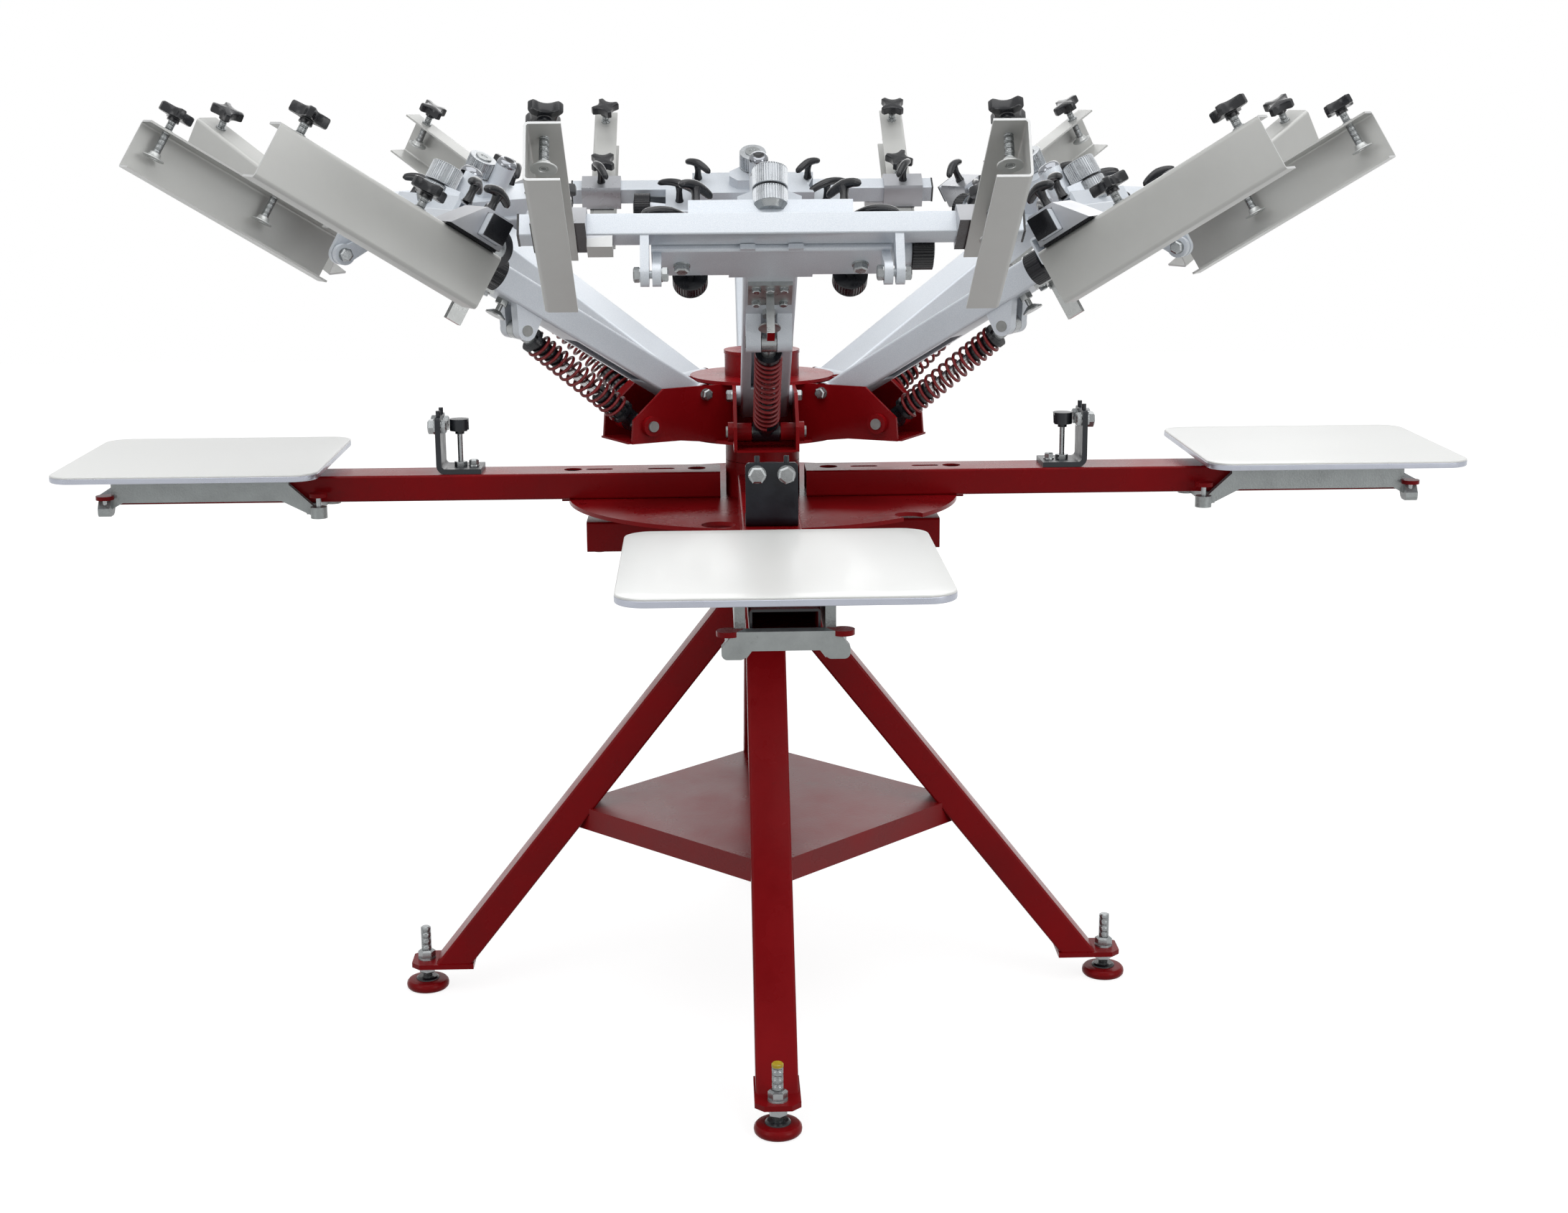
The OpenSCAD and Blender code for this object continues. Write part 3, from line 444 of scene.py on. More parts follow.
def bolt_tree():
    """a chamfered hexagon head on its washer at each point, facing the point's own direction"""
    tree, enter, leave = new_tree("hexagon_bolts", (("Across flats", 0.024), ("Head height", 0.010),
                                  ("Washer radius", 0.015), ("Washer height", 0.0025), ("Twist", 0.3)))
    add = tree.nodes.new

    def part_of(size, factor, more=0):
        """a size times a factor, on top of another length"""
        return maths(tree, "MULTIPLY_ADD", (enter, size), factor, more)

    def ring(sides, low_radius, top_radius, height, base):
        """a round or six-sided block whose base stands at a height"""
        cone = dial(add("GeometryNodeMeshCone"), Vertices=sides)
        lift, move = add("ShaderNodeCombineXYZ"), add("GeometryNodeTransform")
        wire(tree, (low_radius, 0, cone, "Radius Bottom"), (top_radius, 0, cone, "Radius Top"),
             (height, 0, cone, "Depth"), (base, 0, lift, "Z"), (cone, 0, move, 0),
             (lift, 0, move, "Translation"))
        return move

    corner = part_of("Across flats", 0.5 / math.cos(math.radians(30)))
    washer_top = part_of("Washer height", 1)
    washer = ring(40, part_of("Washer radius", 1), part_of("Washer radius", 0.97), washer_top,
                  part_of("Washer height", 0))
    hexagon = ring(6, corner, corner, part_of("Head height", 0.8), washer_top)
    crown = ring(6, corner, part_of("Across flats", 0.44), part_of("Head height", 0.2),
                 part_of("Head height", 0.8, washer_top))
    bolt = add("GeometryNodeJoinGeometry")
    wire(tree, *[(part, 0, bolt, 0) for part in (washer, hexagon, crown)])
    aim = dial(add("GeometryNodeInputNamedAttribute"), Name="out")
    aim.data_type = "FLOAT_VECTOR"
    face_out = add("FunctionNodeAlignRotationToVector")
    face_out.axis = "Z"
    own_turn = add("FunctionNodeRotateRotation")
    own_turn.rotation_space = "LOCAL"
    angle = maths(tree, "MULTIPLY", add("GeometryNodeInputIndex"), (enter, "Twist"))
    roll_by, to_turn = add("ShaderNodeCombineXYZ"), add("FunctionNodeEulerToRotation")
    spread = add("GeometryNodeInstanceOnPoints")
    wire(tree, (aim, 0, face_out, "Vector"), (angle, 0, roll_by, "Z"), (roll_by, 0, to_turn, 0),
         (face_out, 0, own_turn, 0), (to_turn, 0, own_turn, 1), (enter, "Geometry", spread, "Points"),
         (bolt, 0, spread, "Instance"), (own_turn, 0, spread, "Rotation"))
    return end_tree(tree, enter, leave, spread)


winding = winding_tree()
bolts = bolt_tree()


def lathe(profile, steps, coat):
    """a closed solid turned about Z from (radius, height) pairs, both in millimetres"""
    bm = bmesh.new()
    rings = []
    for radius, height in profile:
        r, count = radius / 1000, steps if radius > 0 else 1
        rings.append([bm.verts.new((r * math.cos(a), r * math.sin(a), height / 1000))
                      for a in (2 * math.pi * k / count for k in range(count))])
    for low, high in zip(rings, rings[1:]):
        for k in range(steps):
            n = (k + 1) % steps
            corners = [low[k % len(low)], low[n % len(low)], high[n % len(high)], high[k % len(high)]]
            bm.faces.new([c for j, c in enumerate(corners) if c not in corners[:j]])
    for ring in (rings[0][::-1], rings[-1]):
        if len(ring) > 1:
            bm.faces.new(ring)
    bmesh.ops.recalc_face_normals(bm, faces=bm.faces)
    return as_mesh(bm, "turned", coat)


def at(x, y, z):
    """a place given in millimetres"""
    return Matrix.Translation((x / 1000, y / 1000, z / 1000))


def bolted(spots, finish, flats, height, washer, washer_height):
    """hexagon heads, sizes in millimetres, at (frame, point in millimetres, outward way) spots,
    as an entry for gather"""
    ends = [place @ (Vector(spot) / 1000) for place, spot, out in spots]
    ways = [place.to_3x3() @ Vector(out) for place, spot, out in spots]
    made = grown(bolts, ends, ways, Finish=finish, Across_flats=flats / 1000, Head_height=height / 1000,
                 Washer_radius=washer / 1000, Washer_height=washer_height / 1000, Twist=0.37)
    return made, Matrix()


pad = lathe([(0, 0), (27, 0), (31, 1.2), (33.4, 4), (34, 8), (33.2, 12), (30.5, 15), (26, 16), (19, 16.2),
             (0, 16.2)], 64, crimson)
collar = lathe([(0, 16), (18.5, 16), (18, 18), (15, 20.6), (11, 21), (0, 21)], 48, plastic)
shank = lathe([(0, 20), (6.9, 20), (7.4, 21), (7.4, 103), (6.2, 104.6), (0, 104.6)], 32, zinc)
thread_start, thread_l, thread_pitch = 51.5, 0.052, 0.002
stud = grown(winding, Radius=0.0074, Length=thread_l, Turns=thread_l / thread_pitch, Wire_radius=0.0009,
             Finish=zinc)
mark_paint = finish("yellow_mark_paint", (0.55, 0.40, 0.02), 0.5, mottle=0.3, mottle_scale=200)
mark = lathe([(0, 99), (7.7, 99), (8.3, 100), (8.3, 103.4), (6.9, 104.9), (0, 105)], 32, mark_paint)
foot_nuts = []
for side, angle in sides:
    place = station(angle) @ at(foot_r, 0, 0)
    pieces = [(pad, place), (collar, place), (shank, place), (stud, place @ at(0, 0, thread_start))]
    if side == "front":
        pieces.append((mark, place))
    foot = gather("foot_" + side + "_levelling", pieces, "foot_" + side)
    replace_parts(foot, "foot_" + side)
    foot_nuts += [(place, (0, 0, foot_plate_top), (0, 0, 1)),
                  (place, (0, 0, foot_plate_top - foot_plate_t), (0, 0, -1))]
gather("foot_nuts", [bolted(foot_nuts, zinc, 24, 12.5, 14.5, 3)], "stand")


# ---------------------------------------------------------------- platen carousel
# A laser-cut index disc on a plain bearing, with four square arms welded on it. Each arm
# carries a bent black gate plate, whose two bolts guide a head's tongue down on the bumper.

skin("index_disc", "platen_carousel", [crimson])
arm_end = 985.0


def platen_arm_finish(point, normal):
    """a black moulded cap in each arm's end"""
    return 1 if point.x > arm_end - 0.1 else 0


skin("platen_arms", "platen_carousel", [crimson, plastic], platen_arm_finish, stations)

gate_r, gate_t, arm_top = 499.0, 8.0, 848.0
bolt_y, bolt_z = 19.5, arm_top + 72
bumper_r, bumper_radius, bumper_top = gate_r - 34, 11.0, arm_top + 54.5
clamp_bolt_r, clamp_bolt_radius = gate_r - 54, 10.2
foot_face = arm_top + gate_t


def gate_finish(point, normal):
    """black plate and bumper, bright post; drops the plain heads that the bolts below stand for"""
    bolt_reach, nut_depth = 14, 10
    past_front = point.x > gate_r + 0.2
    past_back = gate_r - gate_t - nut_depth < point.x < gate_r - gate_t - 0.2
    if abs(point.z - bolt_z) < bolt_reach and (past_front or past_back):
        return None
    above_foot = point.z > foot_face + 0.3
    if near(point, clamp_bolt_r, 0, clamp_bolt_radius) and above_foot:
        return None
    return 1 if near(point, bumper_r, 0, bumper_radius) and above_foot and point.z < bumper_top else 0


skin("gate_brackets", "platen_carousel", [black_oxide, zinc], gate_finish, stations)

guide_bolts, guide_nuts, clamp_bolts = [], [], []
for place in stations:
    for y in (-bolt_y, bolt_y):
        guide_bolts.append((place, (gate_r, y, bolt_z), (1, 0, 0)))
        guide_nuts.append((place, (gate_r - gate_t, y, bolt_z), (-1, 0, 0)))
    clamp_bolts.append((place, (clamp_bolt_r, 0, foot_face), (0, 0, 1)))
gather("gate_bolts", [bolted(guide_bolts, zinc, 21, 9, 12.5, 3), bolted(guide_nuts, zinc, 20, 8, 10.4, 0.6),
                      bolted(clamp_bolts, zinc, 13, 8, 8.5, 2)], "platen_carousel")


# ---------------------------------------------------------------- platen boards
# Plywood boards faced with off-white laminate and edged with a bright aluminium band, each
# screwed to a sand-cast aluminium bracket that slides along the end of its arm.

laminate = finish("off_white_laminate", (0.80, 0.81, 0.795), 0.32, coat=0.12, mottle=0.014, mottle_scale=3,
                  grain=0.01, grain_scale=60, rough_spread=0.03)
edge_band = finish("bright_edge_band", (0.42, 0.44, 0.50), 0.30, metal=0.75, mottle=0.06, mottle_scale=20,
                   grain=0.06, grain_scale=300, grain_stretch=(1, 1, 12))
cast_metal = finish("sand_cast_aluminium", (0.29, 0.31, 0.308), 0.44, metal=0.55, mottle=0.16,
                    mottle_scale=26, grain=0.65, grain_scale=330, wear_and_sheen=((0.12, 0.125, 0.12), 0.05))

platen_r, platen_l, platen_w, board_t, board_r = 657.0, 391.0, 380.0, 11.0, 36.0
platen_z = 876.0
board_low = platen_z - board_t


def bridge(bm, rings):
    """quads from each ring of corners to the next, given back in one list for each step"""
    return [[bm.faces.new((low[k - 1], low[k], high[k], high[k - 1])) for k in range(len(low))]
            for low, high in zip(rings, rings[1:])]


def board_mesh():
    """rings of a rounded rectangle, drawn in at the board's top and bottom edges"""
    bm = bmesh.new()
    rings = []
    corner_steps, band_steps = 12, 5
    for inset, height in ((26, 0), (1.6, 0), (0.4, 0.8), (0, 2.2), (0, 7.4), (0.5, 7.9), (0.3, 8.2),
                          (0.4, 9.8), (1.3, 10.8), (2.6, 11), (26, 11)):
        ring = []
        radius = board_r - min(inset, 8)
        for corner_x, corner_y, start in ((1, 1, 0), (-1, 1, 90), (-1, -1, 180), (1, -1, 270)):
            cx = corner_x * (platen_l / 2 - inset - radius)
            cy = corner_y * (platen_w / 2 - inset - radius)
            for k in range(corner_steps + 1):
                a = math.radians(start + 90 * k / corner_steps)
                x = platen_r + platen_l / 2 + cx + radius * math.cos(a)
                y = cy + radius * math.sin(a)
                ring.append(bm.verts.new((x / 1000, y / 1000, (board_low + height) / 1000)))
        rings.append(ring)
    banded = [face for step in bridge(bm, rings)[:band_steps] for face in step]
    banded.append(bm.faces.new(rings[0][::-1]))
    for face in banded:
        face.material_index = 1
    bm.faces.new(rings[-1])
    return as_mesh(bm, "board", laminate, edge_band)


board = board_mesh()
bracket_ends, boss_y = (platen_r + 18, 995.0), 64.0
disc_radius, screw_radius = 14.0, 4.5
disc_span, screw_span = (37.5, 44.5), (37.0, 60.5)  # from and to, in millimetres below the board


def bracket_finish(point, normal):
    """red clamp discs and bright screws at the four corners, cast metal elsewhere"""
    below = board_low - point.z
    for x in bracket_ends:
        out = math.hypot(point.x - x, abs(point.y) - boss_y)
        if out < disc_radius and disc_span[0] < below < disc_span[1]:
            return 1
        if out < screw_radius and screw_span[0] < below < screw_span[1]:
            return 2
    return 0


for (side, _), place in zip(sides, stations):
    body = "platen_" + side
    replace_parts(gather(body + "_board", [(board, place)], body), body)
    skin("bracket_" + side, body, [cast_metal, crimson, zinc], bracket_finish, [place])


# ---------------------------------------------------------------- head carousel
# A welded hub of tube and two discs on a bearing, with six folded steel brackets that hold
# the heads' tilt pins and the struts' lower pins. Crimson gloss, zinc-plated bolts.

pivot_r, pivot_z = 127.0, 976.0
strut_r, strut_z = 221.0, 936.0
yoke_in, yoke_out, fork_in, nut_out = 42.0, 47.0, 22.0, 55.0
pin_radius, strut_pin_radius, pin_head_reach = 9.0, 8.6, 16.0
heads = range(1, 7)
head_stations = [station(60 * (i - 1)) for i in heads]


def hub_finish(point, normal):
    """dull pins; drops the tilt pins' plain heads, which the bolts below stand for"""
    out, clear = abs(point.y), 0.05
    from_tilt_pin = math.hypot(point.x - pivot_r, point.z - pivot_z)
    from_strut_pin = math.hypot(point.x - strut_r, point.z - strut_z)
    if from_tilt_pin < pin_head_reach and out > yoke_out + clear:
        return None
    if from_tilt_pin < pin_radius and out < yoke_in:
        return 1
    return 1 if from_strut_pin < strut_pin_radius and (out < fork_in or out > nut_out + clear) else 0


skin("head_hub", "head_carousel", [crimson, dull_steel], hub_finish, head_stations)
pin_heads = [(place, (pivot_r, sign * yoke_out, pivot_z), (0, sign, 0)) for place in head_stations
             for sign in (-1, 1)]
gather("tilt_pin_bolts", [bolted(pin_heads, zinc, 15, 7.5, 9, 1.8)], "head_carousel")


# ---------------------------------------------------------------- head arms
# Welded square tube, sprayed pale silver: a long arm on its tilt pin, a T-box across its end,
# hinge lugs for the crossbar, a strut clevis, and the bright tongue that finds the gate.

tilt = 31.5
head_low, head_top = -28.0, 12.0
tbox_u, tbox_half = 440.0, 152.0
hinge_u, hinge_v = 524.0, -68.0
clevis_u, clevis_v = 296.5, -53.5
bar_u, bar_v = 527.0, -6.0
hinge_pin_radius, lug_in, lug_gap, lug_out = 8.2, 130.0, 154.0, 165.05
clevis_pin_radius, clevis_in, clevis_out = 8.3, 11.0, 31.05
stop_u, stop_reach = 338.0, 16.0
tongue_u, tongue_half, tongue_tip = (367.5, 424.5), 29.5, head_low - 52
hair = 0.005                       # how far past a plane, in millimetres, a face counts as beyond it

silver = finish("pale_silver_paint", (0.60, 0.645, 0.70), 0.38, metal=0.22, gloss=0.4, mottle=0.04,
                mottle_scale=9, grain=0.25, grain_scale=1100, fleck=0.24)
bright_steel = finish("milled_steel", (0.34, 0.35, 0.345), 0.32, metal=0.8, mottle=0.16, mottle_scale=70,
                      grain=0.18, grain_scale=160, grain_stretch=(1, 8, 1))


def head_place(i):
    """a head's own frame: X out along the arm, Y across it, Z up, the tilt pin at the origin"""
    return head_stations[i - 1] @ at(pivot_r, 0, pivot_z) @ turned(-tilt, "Y")


def arm_finish(point, normal):
    """bright tongue with a red tip, bright stop foot, dull strut pin, silver paint elsewhere"""
    x, y, z = point
    out = abs(y)
    if z < head_low - hair:
        if tongue_u[0] < x < tongue_u[1] and out < tongue_half:
            return 1 if z > tongue_tip - 0.01 else 2
        if math.hypot(x - stop_u, y) < stop_reach:
            return 1
    on_pin = math.hypot(x - clevis_u, z - clevis_v) < clevis_pin_radius
    return 3 if on_pin and (out < clevis_in or out > clevis_out) else 0


down = (0, 0, -1)
tbox_bolt_spots = [(470, side * 114, head_low) for side in (-1, 1)]
plate_bolt_spots = [(u, y, head_low - 6) for u, y in
                    ((414, -18), (414, 0), (414, 18), (375, -18), (375, 18))]
hinge_bolt_spots = [((hinge_u, side * y, hinge_v), (0, side * way, 0)) for side in (-1, 1)
                    for y, way in ((165.3, 1), (138.7, -1))]
for i in heads:
    place, body = head_place(i), f"head_{i}"
    skin(f"head_{i}_arm", body, [silver, bright_steel, crimson, dull_steel], arm_finish,
         [place])
    gather(f"head_{i}_arm_fittings",
           [bolted([(place, spot, down) for spot in tbox_bolt_spots], zinc, 17, 8, 11, 2),
            bolted([(place, spot, down) for spot in plate_bolt_spots], zinc, 10, 4.5, 6.6, 1),
            bolted([(place, spot, way) for spot, way in hinge_bolt_spots], zinc, 17, 7.5, 9.6, 1.2)],
           body)


# ---------------------------------------------------------------- crossbars
# Square tube that carries the screen clamps. Above the T-box a bent plate holds two knurled
# height wheels, a pillar with a polished top and black lock handles, and a knob shifts the bar.

def knurl_tree():
    """a round block with straight ridges all round and a smooth edge at each end"""
    tree, enter, leave = new_tree("knurled_wheel", (("Radius", 0.023), ("Height", 0.022), ("Depth", 0.0014),
                                  ("Edge", 0.0008)), (("Ridges", 42),))
    add = tree.nodes.new

    def times(a, b):
        return maths(tree, "MULTIPLY", a, b)

    def less(a, b):
        return maths(tree, "SUBTRACT", a, b)

    drum = dial(add("GeometryNodeMeshCylinder"), Side_Segments=5)
    place, parts = add("GeometryNodeInputPosition"), add("ShaderNodeSeparateXYZ")
    height = parts, "Z"
    # each end has three rings close together: the edge, the full radius, and where the grooves start
    ring_gap = 0.0007
    half = times((enter, "Height"), 0.5)
    from_end = less(half, maths(tree, "ABSOLUTE", height))
    ring = maths(tree, "DIVIDE", from_end, times((enter, "Height"), 0.2))
    new_height = times(maths(tree, "SIGN", height), less(half, times(ring, ring_gap)))
    in_groove = maths(tree, "GREATER_THAN", maths(tree, "MODULO", add("GeometryNodeInputIndex"), 4), 1.5)
    cut = times(times(in_groove, (enter, "Depth")), maths(tree, "GREATER_THAN", ring, 1.5))
    bevel = times(maths(tree, "LESS_THAN", ring, 0.5), (enter, "Edge"))
    shrink = less(1, maths(tree, "DIVIDE", maths(tree, "ADD", cut, bevel), (enter, "Radius")))
    new_place, move = add("ShaderNodeCombineXYZ"), add("GeometryNodeSetPosition")
    wire(tree, (times((enter, "Ridges"), 4), 0, drum, "Vertices"), (enter, "Radius", drum, "Radius"),
         (enter, "Height", drum, "Depth"), (place, 0, parts, 0),
         (times((parts, "X"), shrink), 0, new_place, "X"), (times((parts, "Y"), shrink), 0, new_place, "Y"),
         (new_height, 0, new_place, "Z"), (drum, 0, move, 0), (new_place, 0, move, "Position"))
    return end_tree(tree, enter, leave, move)


knurl = knurl_tree()
knurled_zinc = finish("knurled_zinc", (0.46, 0.48, 0.50), 0.30, metal=0.7, mottle=0.12, mottle_scale=90,
                      grain=0.05, grain_scale=500)


def sweep(path, half_width, half_height, coat):
    """a rounded rod along points in millimetres, whose half sizes follow it and close at the ends"""
    bm = bmesh.new()
    rings = []
    across, around = Vector((0, 1, 0)), 14
    for k, point in enumerate(path):
        ahead = Vector(path[min(k + 1, len(path) - 1)]) - Vector(path[max(k - 1, 0)])
        rise = ahead.normalized().cross(across)
        rings.append([bm.verts.new((Vector(point) + across * half_width[k] * math.cos(a)
                                    + rise * half_height[k] * math.sin(a)) / 1000)
                      for a in (2 * math.pi * corner / around for corner in range(around))])
    bridge(bm, rings)
    bm.faces.new(rings[0][::-1])
    bm.faces.new(rings[-1])
    bmesh.ops.recalc_face_normals(bm, faces=bm.faces)
    return as_mesh(bm, "swept", coat)


def lock_handle(length, lift):
    """a black wing on a stem: a bowed bar, thick in the middle, with blunt drooping ends"""
    radius = length * 0.85
    span = 0.96 * math.asin(0.5 * length / radius)
    path, wide, high = [], [], []
    steps = 18
    for k in range(steps + 1):
        share = 2 * k / steps - 1
        a = share * span
        fade = max(math.sqrt(1 - abs(share) ** 12), 0.3)
        path.append((radius * math.sin(a), 0, lift + 4 - radius + radius * math.cos(a)))
        wide.append((5.2 + 1.6 * (1 - abs(share))) * fade)
        high.append((5.0 + 2.4 * (1 - abs(share))) * fade)
    stem = lathe([(7.2, 0), (7.2, 2), (6.2, 4), (5.2, lift * 0.6), (6.2, lift - 4), (7, lift)], 24, plastic)
    return sweep(path, wide, high, plastic), stem


shelf_v = head_top + 33.0
wheel_u, wheel_reach, nut_from = 500.0, 24.0, 482.0
knob_u, knob_v, knob_t, knob_reach = 475.0, -8.0, tbox_half + 27, 28.5
pillar_u, pillar_t, pillar_reach, pillar_cut = 462.0, -9.0, 17.0, shelf_v + 56
bar_end = 315.0
small_handle, large_handle, handle_reach = lock_handle(56, 26), lock_handle(86, 32), 50.0
# each lock handle's meshes, its place along and across the head, its foot's height and its turn
handle_spots = ((small_handle, 491, 95, shelf_v, 49), (large_handle, 471, 128, head_top, 62))
chrome = finish("polished_chrome", (0.24, 0.25, 0.27), 0.10, metal=1.0, mottle=0.05, mottle_scale=30,
                grain=0.02, grain_scale=300, rough_spread=0.02)


def crossbar_finish(point, normal):
    """black end caps, zinc pins; drops the wheels, knobs, handles and the pillar's top, made below"""
    x, y, z = point
    out = abs(y)
    if near(point, wheel_u, 0, wheel_reach) and z > shelf_v + hair:
        return None
    if near(point, wheel_u, 0, wheel_reach) and shelf_v - 14.01 <= z < shelf_v - 4 and x > nut_from:
        return 2
    for _, u, t, foot, _ in handle_spots:
        if z > foot + hair and math.hypot(x - u, out - t) < handle_reach and out > 60:
            return None
    if x < tbox_u - hair and z < head_top - 1:
        return None
    if y > knob_t + hair and abs(x - knob_u) < knob_reach:
        return None
    if out > bar_end - 0.01:
        return 1
    if near(point, pillar_u, pillar_t, pillar_reach) and z > pillar_cut:
        return None
    on_pin = math.hypot(x - hinge_u, z - hinge_v) < hinge_pin_radius
    return 2 if on_pin and (lug_in < out < lug_gap or out > lug_out) else 0


wheel_low = grown(knurl, Radius=0.023, Height=0.022, Finish=knurled_zinc)
wheel_high = grown(knurl, Radius=0.023, Height=0.028, Finish=knurled_zinc)
wheel_gap = lathe([(17, 0), (18.6, 0.4), (18.6, 2.6), (17, 3)], 40, black_oxide)
wheel_cap = lathe([(13.5, 0), (13.5, 1.4), (12.6, 2.2), (5.8, 2.2), (5.2, 1.2), (0, 1.2)], 40, zinc)
pillar_top = lathe([(0, 55.5), (16.5, 55.5), (16.5, 57.5), (15.9, 60.5), (14.2, 63.4), (12.2, 65.1),
                    (10.4, 65.7), (9.2, 65.3), (8.6, 64), (8.4, 60)], 48, chrome)
pillar_hollow = lathe([(8.6, 60.2), (9.0, 65.05), (0, 60.4)], 40, plastic)
side_knob = grown(knurl, Radius=0.028, Height=0.028, Depth=0.0013, Ridges=40, Edge=0.002, Finish=plastic)
side_cap = lathe([(0, 0), (17, 0), (17.5, 0.8), (16, 1.8), (6, 2.2), (0, 2.2)], 40, zinc)
back_knob = grown(knurl, Radius=0.023, Height=0.023, Depth=0.0012, Ridges=36, Edge=0.002, Finish=plastic)
back_stem = lathe([(7, 0), (7, 12.5)], 24, plastic)

for i in heads:
    place, body = head_place(i), f"head_{i}"
    skin(f"head_{i}_crossbar", body, [silver, plastic, zinc], crossbar_finish, [place])
    tall, pillar = place @ at(wheel_u, 0, shelf_v), place @ at(pillar_u, pillar_t, shelf_v)
    stack = ((wheel_low, 5), (wheel_gap, 16), (wheel_high, 33), (wheel_cap, 46.9))
    wheels = [(mesh, tall @ at(0, 0, height)) for mesh, height in stack]
    gather(f"head_{i}_height_wheels", wheels + [(pillar_top, pillar), (pillar_hollow, pillar)], body)
    handles = []
    for side in (-1, 1):
        for meshes, u, t, foot, angle in handle_spots:
            handles += [(mesh, place @ at(u, side * t, foot) @ turned(side * angle)) for mesh in meshes]
        back = place @ at(tbox_u, side * 104, head_low + 9) @ turned(-90, "Y")
        handles += [(back_stem, back), (back_knob, back @ at(0, 0, 23.5))]
    shift = place @ at(knob_u, knob_t, knob_v) @ turned(-90, "X")
    handles += [(side_knob, shift @ at(0, 0, 14)), (side_cap, shift @ at(0, 0, 27.8))]
    gather(f"head_{i}_handles", handles, body)


# ---------------------------------------------------------------- screen clamps
# Folded aluminium channels that hang from the crossbar in sleeves with cut corners. Two
# threaded screws with swivel feet press a screen's frame down on the channel's lower flange.

mill_finish = finish("mill_aluminium", (0.525, 0.53, 0.515), 0.40, metal=0.22, gloss=0.5, mottle=0.05,
                     mottle_scale=7, grain=0.05, grain_scale=700)
sawn_edge = finish("sawn_aluminium_edge", (0.60, 0.61, 0.61), 0.4, metal=0.3, mottle=0.06, mottle_scale=120,
                   grain=0.05, grain_scale=500)
bright_sleeve = finish("bright_sleeve", (0.42, 0.43, 0.455), 0.32, metal=0.6, mottle=0.07, mottle_scale=14,
                       grain=0.10, grain_scale=90, grain_stretch=(1, 8, 1))

chan_y, chan_f, chan_top = 286.0, 42.0, -28.0
chan_centre = chan_y - chan_f / 2
screw_u, lever_v = (612.0, 790.0), bar_v + 21
pad_ends, sleeve_ends, pad_t = (-23.5, 54.5), (-27.0, 55.0), 2.0


def clamp_finish(point, normal):
    """bright sleeve, black pad under it, bright sawn ends; drops the screws and lever made below"""
    x, y, z = point.x, abs(point.y), point.z
    star_reach, foot_reach, lever_reach, lip_top = 28, 17.2, 36, chan_top - 51
    for u in screw_u:
        from_screw = math.hypot(x - u, y - chan_centre)
        if from_screw < star_reach and z > chan_top + hair:
            return None
        if from_screw < foot_reach and lip_top < z < chan_top - 3 - hair:
            return None
    if math.hypot(x - bar_u, y - chan_centre) < lever_reach and z > lever_v + hair:
        return None
    along = x - bar_u
    if pad_ends[0] < along < pad_ends[1] and chan_top - 0.1 < z < chan_top + pad_t + 0.02:
        return 1
    if sleeve_ends[0] < along < sleeve_ends[1] and z > chan_top + pad_t:
        return 2
    return 3 if abs(normal.x) > 0.95 and z < chan_top + 0.1 else 0


def cross_outline(a):
    """how far out a cross-shaped knob reaches at an angle: blunt arms, with a scallop between two"""
    reach, scallop_at, scallop_r, blend = 25.5, 34.0, 19.5, 14
    from_scallop = math.radians(45) - abs((a + math.pi / 4) % (math.pi / 2) - math.pi / 4)
    aside = scallop_at * math.sin(from_scallop)
    if aside >= scallop_r:
        return reach
    scallop = scallop_at * math.cos(from_scallop) - math.sqrt(scallop_r ** 2 - aside ** 2)
    return (reach ** -blend + scallop ** -blend) ** (-1 / blend)


def star_mesh():
    """a flat-topped cross with upright sides and rounded edges"""
    bm = bmesh.new()
    steps, rings = 96, []
    for inset, height in ((2.2, 0), (0.7, 0.6), (0, 2), (0, 11), (0.5, 12.6), (1.8, 13.6), (4, 14)):
        ring = []
        for k in range(steps):
            a = 2 * math.pi * k / steps
            radius = (cross_outline(a) - inset) / 1000
            ring.append(bm.verts.new((radius * math.cos(a), radius * math.sin(a), height / 1000)))
        rings.append(ring)
    bridge(bm, rings)
    for ring, height in ((rings[0][::-1], 0), (rings[-1], 0.0143)):
        middle = bm.verts.new((0, 0, height))
        for k in range(steps):
            bm.faces.new((ring[k - 1], ring[k], middle))
    return as_mesh(bm, "star", plastic)


foot_steel = finish("bright_foot", (0.56, 0.575, 0.57), 0.36, metal=0.45, mottle=0.08, mottle_scale=60,
                    grain=0.05, grain_scale=400)
star = star_mesh()
skirt = lathe([(8.5, -6), (9, -5.4), (8.4, -1), (10, 1)], 32, plastic)
screw_thread_l, screw_pitch = 0.052, 0.00175
clamp_thread = grown(winding, Radius=0.0053, Length=screw_thread_l, Turns=screw_thread_l / screw_pitch,
                     Wire_radius=0.0006, Finish=zinc)
clamp_core = lathe([(5.2, -42), (5.2, 17)], 24, zinc)
boss = lathe([(8.2, 0), (8.2, 2.4), (7.6, 3), (4.6, 3)], 32, zinc)
swivel = lathe([(0, -41.6), (3.2, -41.6), (3.4, -42.2), (4.2, -42.2), (4.4, -41.8), (6.2, -41.8),
                (6.6, -42.8), (15, -43.2), (15.8, -42.6), (15.6, -41.6), (10.5, -40.6), (8.6, -38),
                (7.8, -34.5), (6, -33.6)], 40, foot_steel)
knob_lift, thread_drop = 22, -36

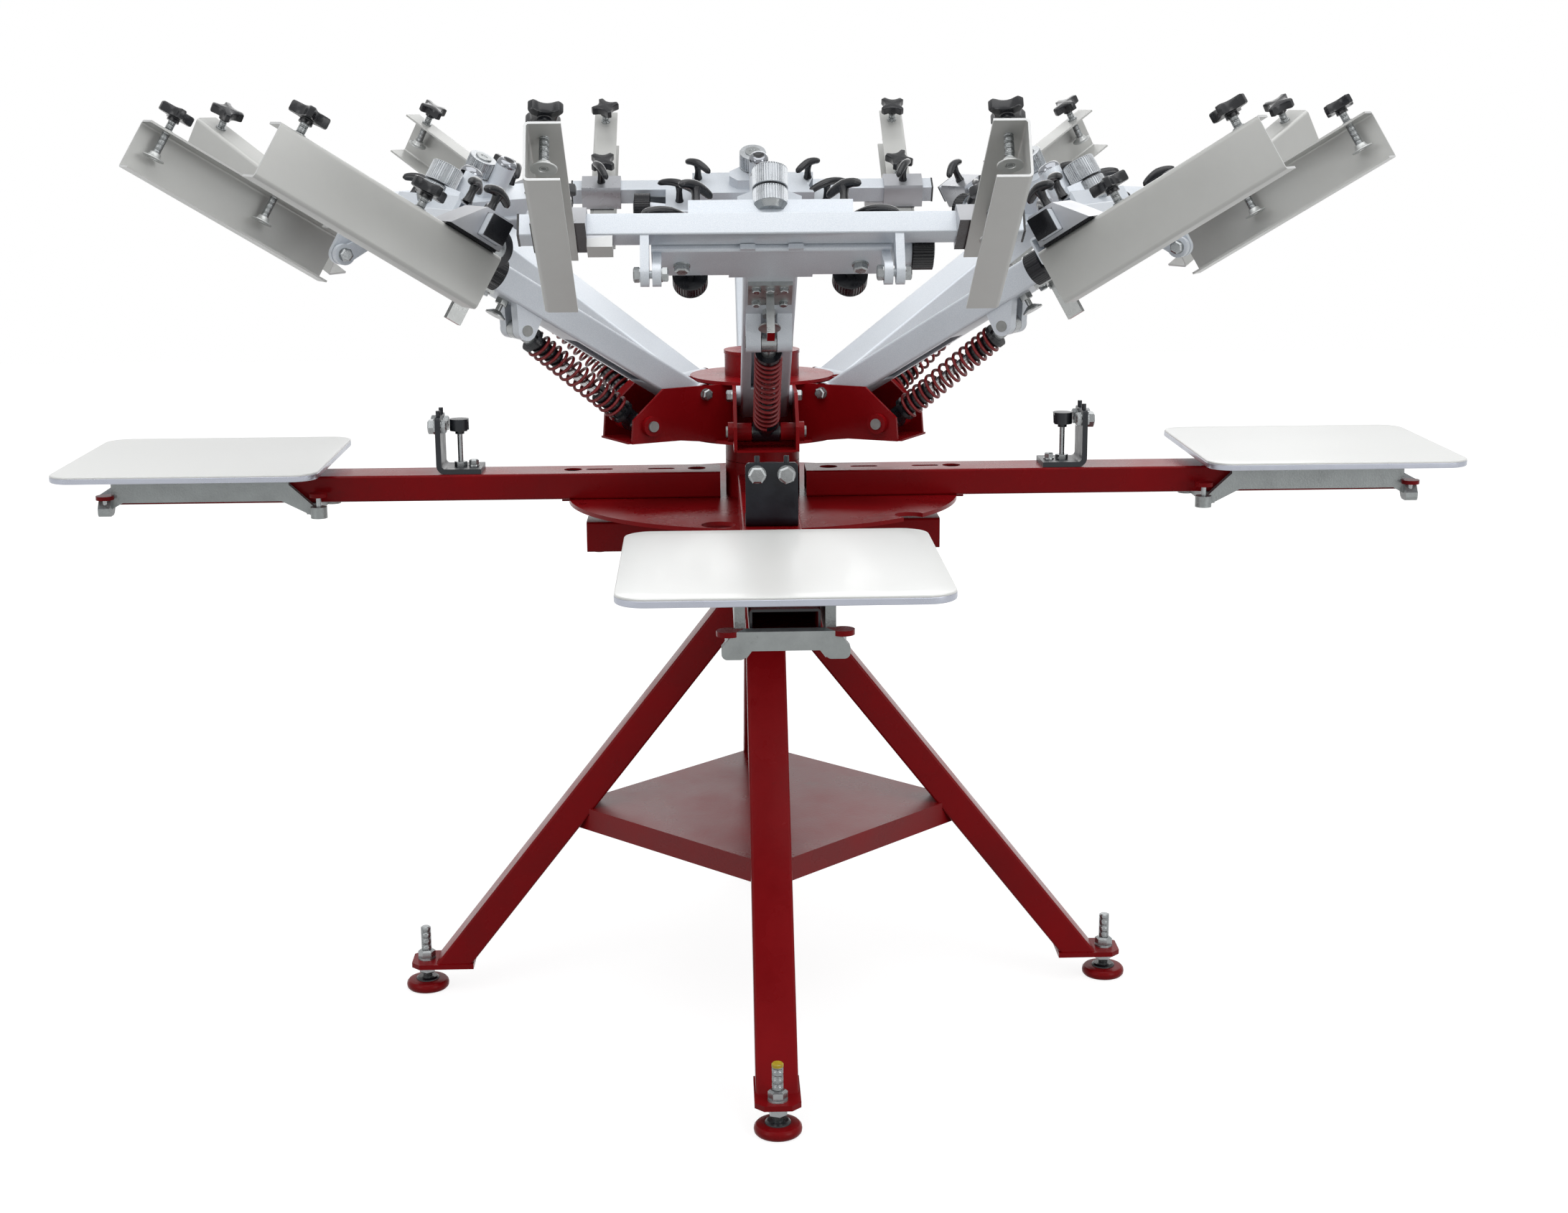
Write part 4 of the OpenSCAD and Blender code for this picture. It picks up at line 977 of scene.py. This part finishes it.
for i in heads:
    place = head_place(i)
    for hand, side in (("left", -1), ("right", 1)):
        body = f"head_{i}_{hand}"
        skin(f"head_{i}_clamp_{hand}", body,
             [mill_finish, plastic, bright_sleeve, sawn_edge], clamp_finish, [place])
        screws, knobs = [], []
        for k, u in enumerate(screw_u):
            spot = place @ at(u, side * chan_centre, chan_top)
            screws += [(clamp_core, spot), (clamp_thread, spot @ at(0, 0, thread_drop)), (boss, spot),
                       (swivel, spot)]
            top = spot @ at(0, 0, knob_lift)
            own_turn = Matrix.Rotation(0.45 * i + 1.1 * k + 0.6 * side, 4, "Z")
            knobs += [(star, top @ own_turn), (skirt, top)]
        lever = place @ at(bar_u, side * chan_centre, lever_v) @ turned(25 * side)
        knobs += [(mesh, lever) for mesh in small_handle]
        gather(f"head_{i}_{hand}_screws", screws, body)
        gather(f"head_{i}_{hand}_knobs", knobs, body)


# ---------------------------------------------------------------- struts and springs
# Two black plugs on pins, a polished rod sliding from one into the other, and a red
# powder-coated coil spring between their flanges that holds the head up.

spring_red = finish("red_spring_coating", (0.20, 0.010, 0.012), 0.34, gloss=0.35, mottle=0.22,
                    mottle_scale=40, grain=0.12, grain_scale=300, wear_and_sheen=((0.10, 0.045, 0.04), 0.05))
polished = finish("polished_rod", (0.42, 0.43, 0.43), 0.16, metal=1.0, mottle=0.08, mottle_scale=50,
                  grain=0.05, grain_scale=200)

rise = math.radians(tilt)
up_r = pivot_r + clevis_u * math.cos(rise) - clevis_v * math.sin(rise)
up_z = pivot_z + clevis_u * math.sin(rise) + clevis_v * math.cos(rise)
strut_l = math.hypot(up_r - strut_r, up_z - strut_z)
strut_rise = math.atan2(up_z - strut_z, up_r - strut_r)
seat_x, seat_gap = 31.5, 0.3
rod_start, eye_l = 78.05, 22.0
wire_r, coil_r = 2.35, 17.15
plug_r, shown_plug_r = 13.0, 11.8  # the bored plug is drawn slimmer, to stay clear of the coil
spring_l = strut_l - 2 * (seat_x + wire_r + seat_gap)
coil = grown(winding, Radius=coil_r / 1000, Length=spring_l / 1000, Turns=13.5, Wire_radius=wire_r / 1000,
             Closing=0.12, Steps=28, Sides=12, Finish=spring_red)


def strut_place(i):
    """a strut's own frame: X along it, from its lower pin"""
    return head_stations[i - 1] @ at(strut_r, 0, strut_z) @ Matrix.Rotation(-strut_rise, 4, "Y")


def rod_finish(point, normal):
    """a black lower plug with a polished rod in it"""
    return 1 if point.x > rod_start else 0


def cup_finish(point, normal):
    """bright eye on the upper pin, black sleeve below it"""
    return 1 if point.x > strut_l - eye_l else 0


def slim_plug(cup, place):
    """draws in the outside of a strut's upper plug, below its seat"""
    for corner in cup.data.vertices:
        spot = place.inverted() @ corner.co
        off_axis = math.hypot(spot.y, spot.z) * 1000
        if spot.x * 1000 < strut_l - seat_x + 0.05 and abs(off_axis - plug_r) < 0.5:
            spot.y, spot.z = spot.y * shown_plug_r / off_axis, spot.z * shown_plug_r / off_axis
            corner.co = place @ spot


for i in heads:
    place, body = strut_place(i), f"head_{i}_rod"
    skin(f"head_{i}_strut_rod", body, [plastic, polished], rod_finish, [place])
    cup = skin(f"head_{i}_strut_cup", f"head_{i}_cup", [plastic, zinc], cup_finish, [place])
    slim_plug(cup, place)
    start = place @ turned(90, "Y") @ at(0, 0, seat_x + wire_r + seat_gap)
    spring = gather(f"head_{i}_coil", [(coil, start)], body)
    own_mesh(spring)
    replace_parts(spring, f"head_{i}_spring")
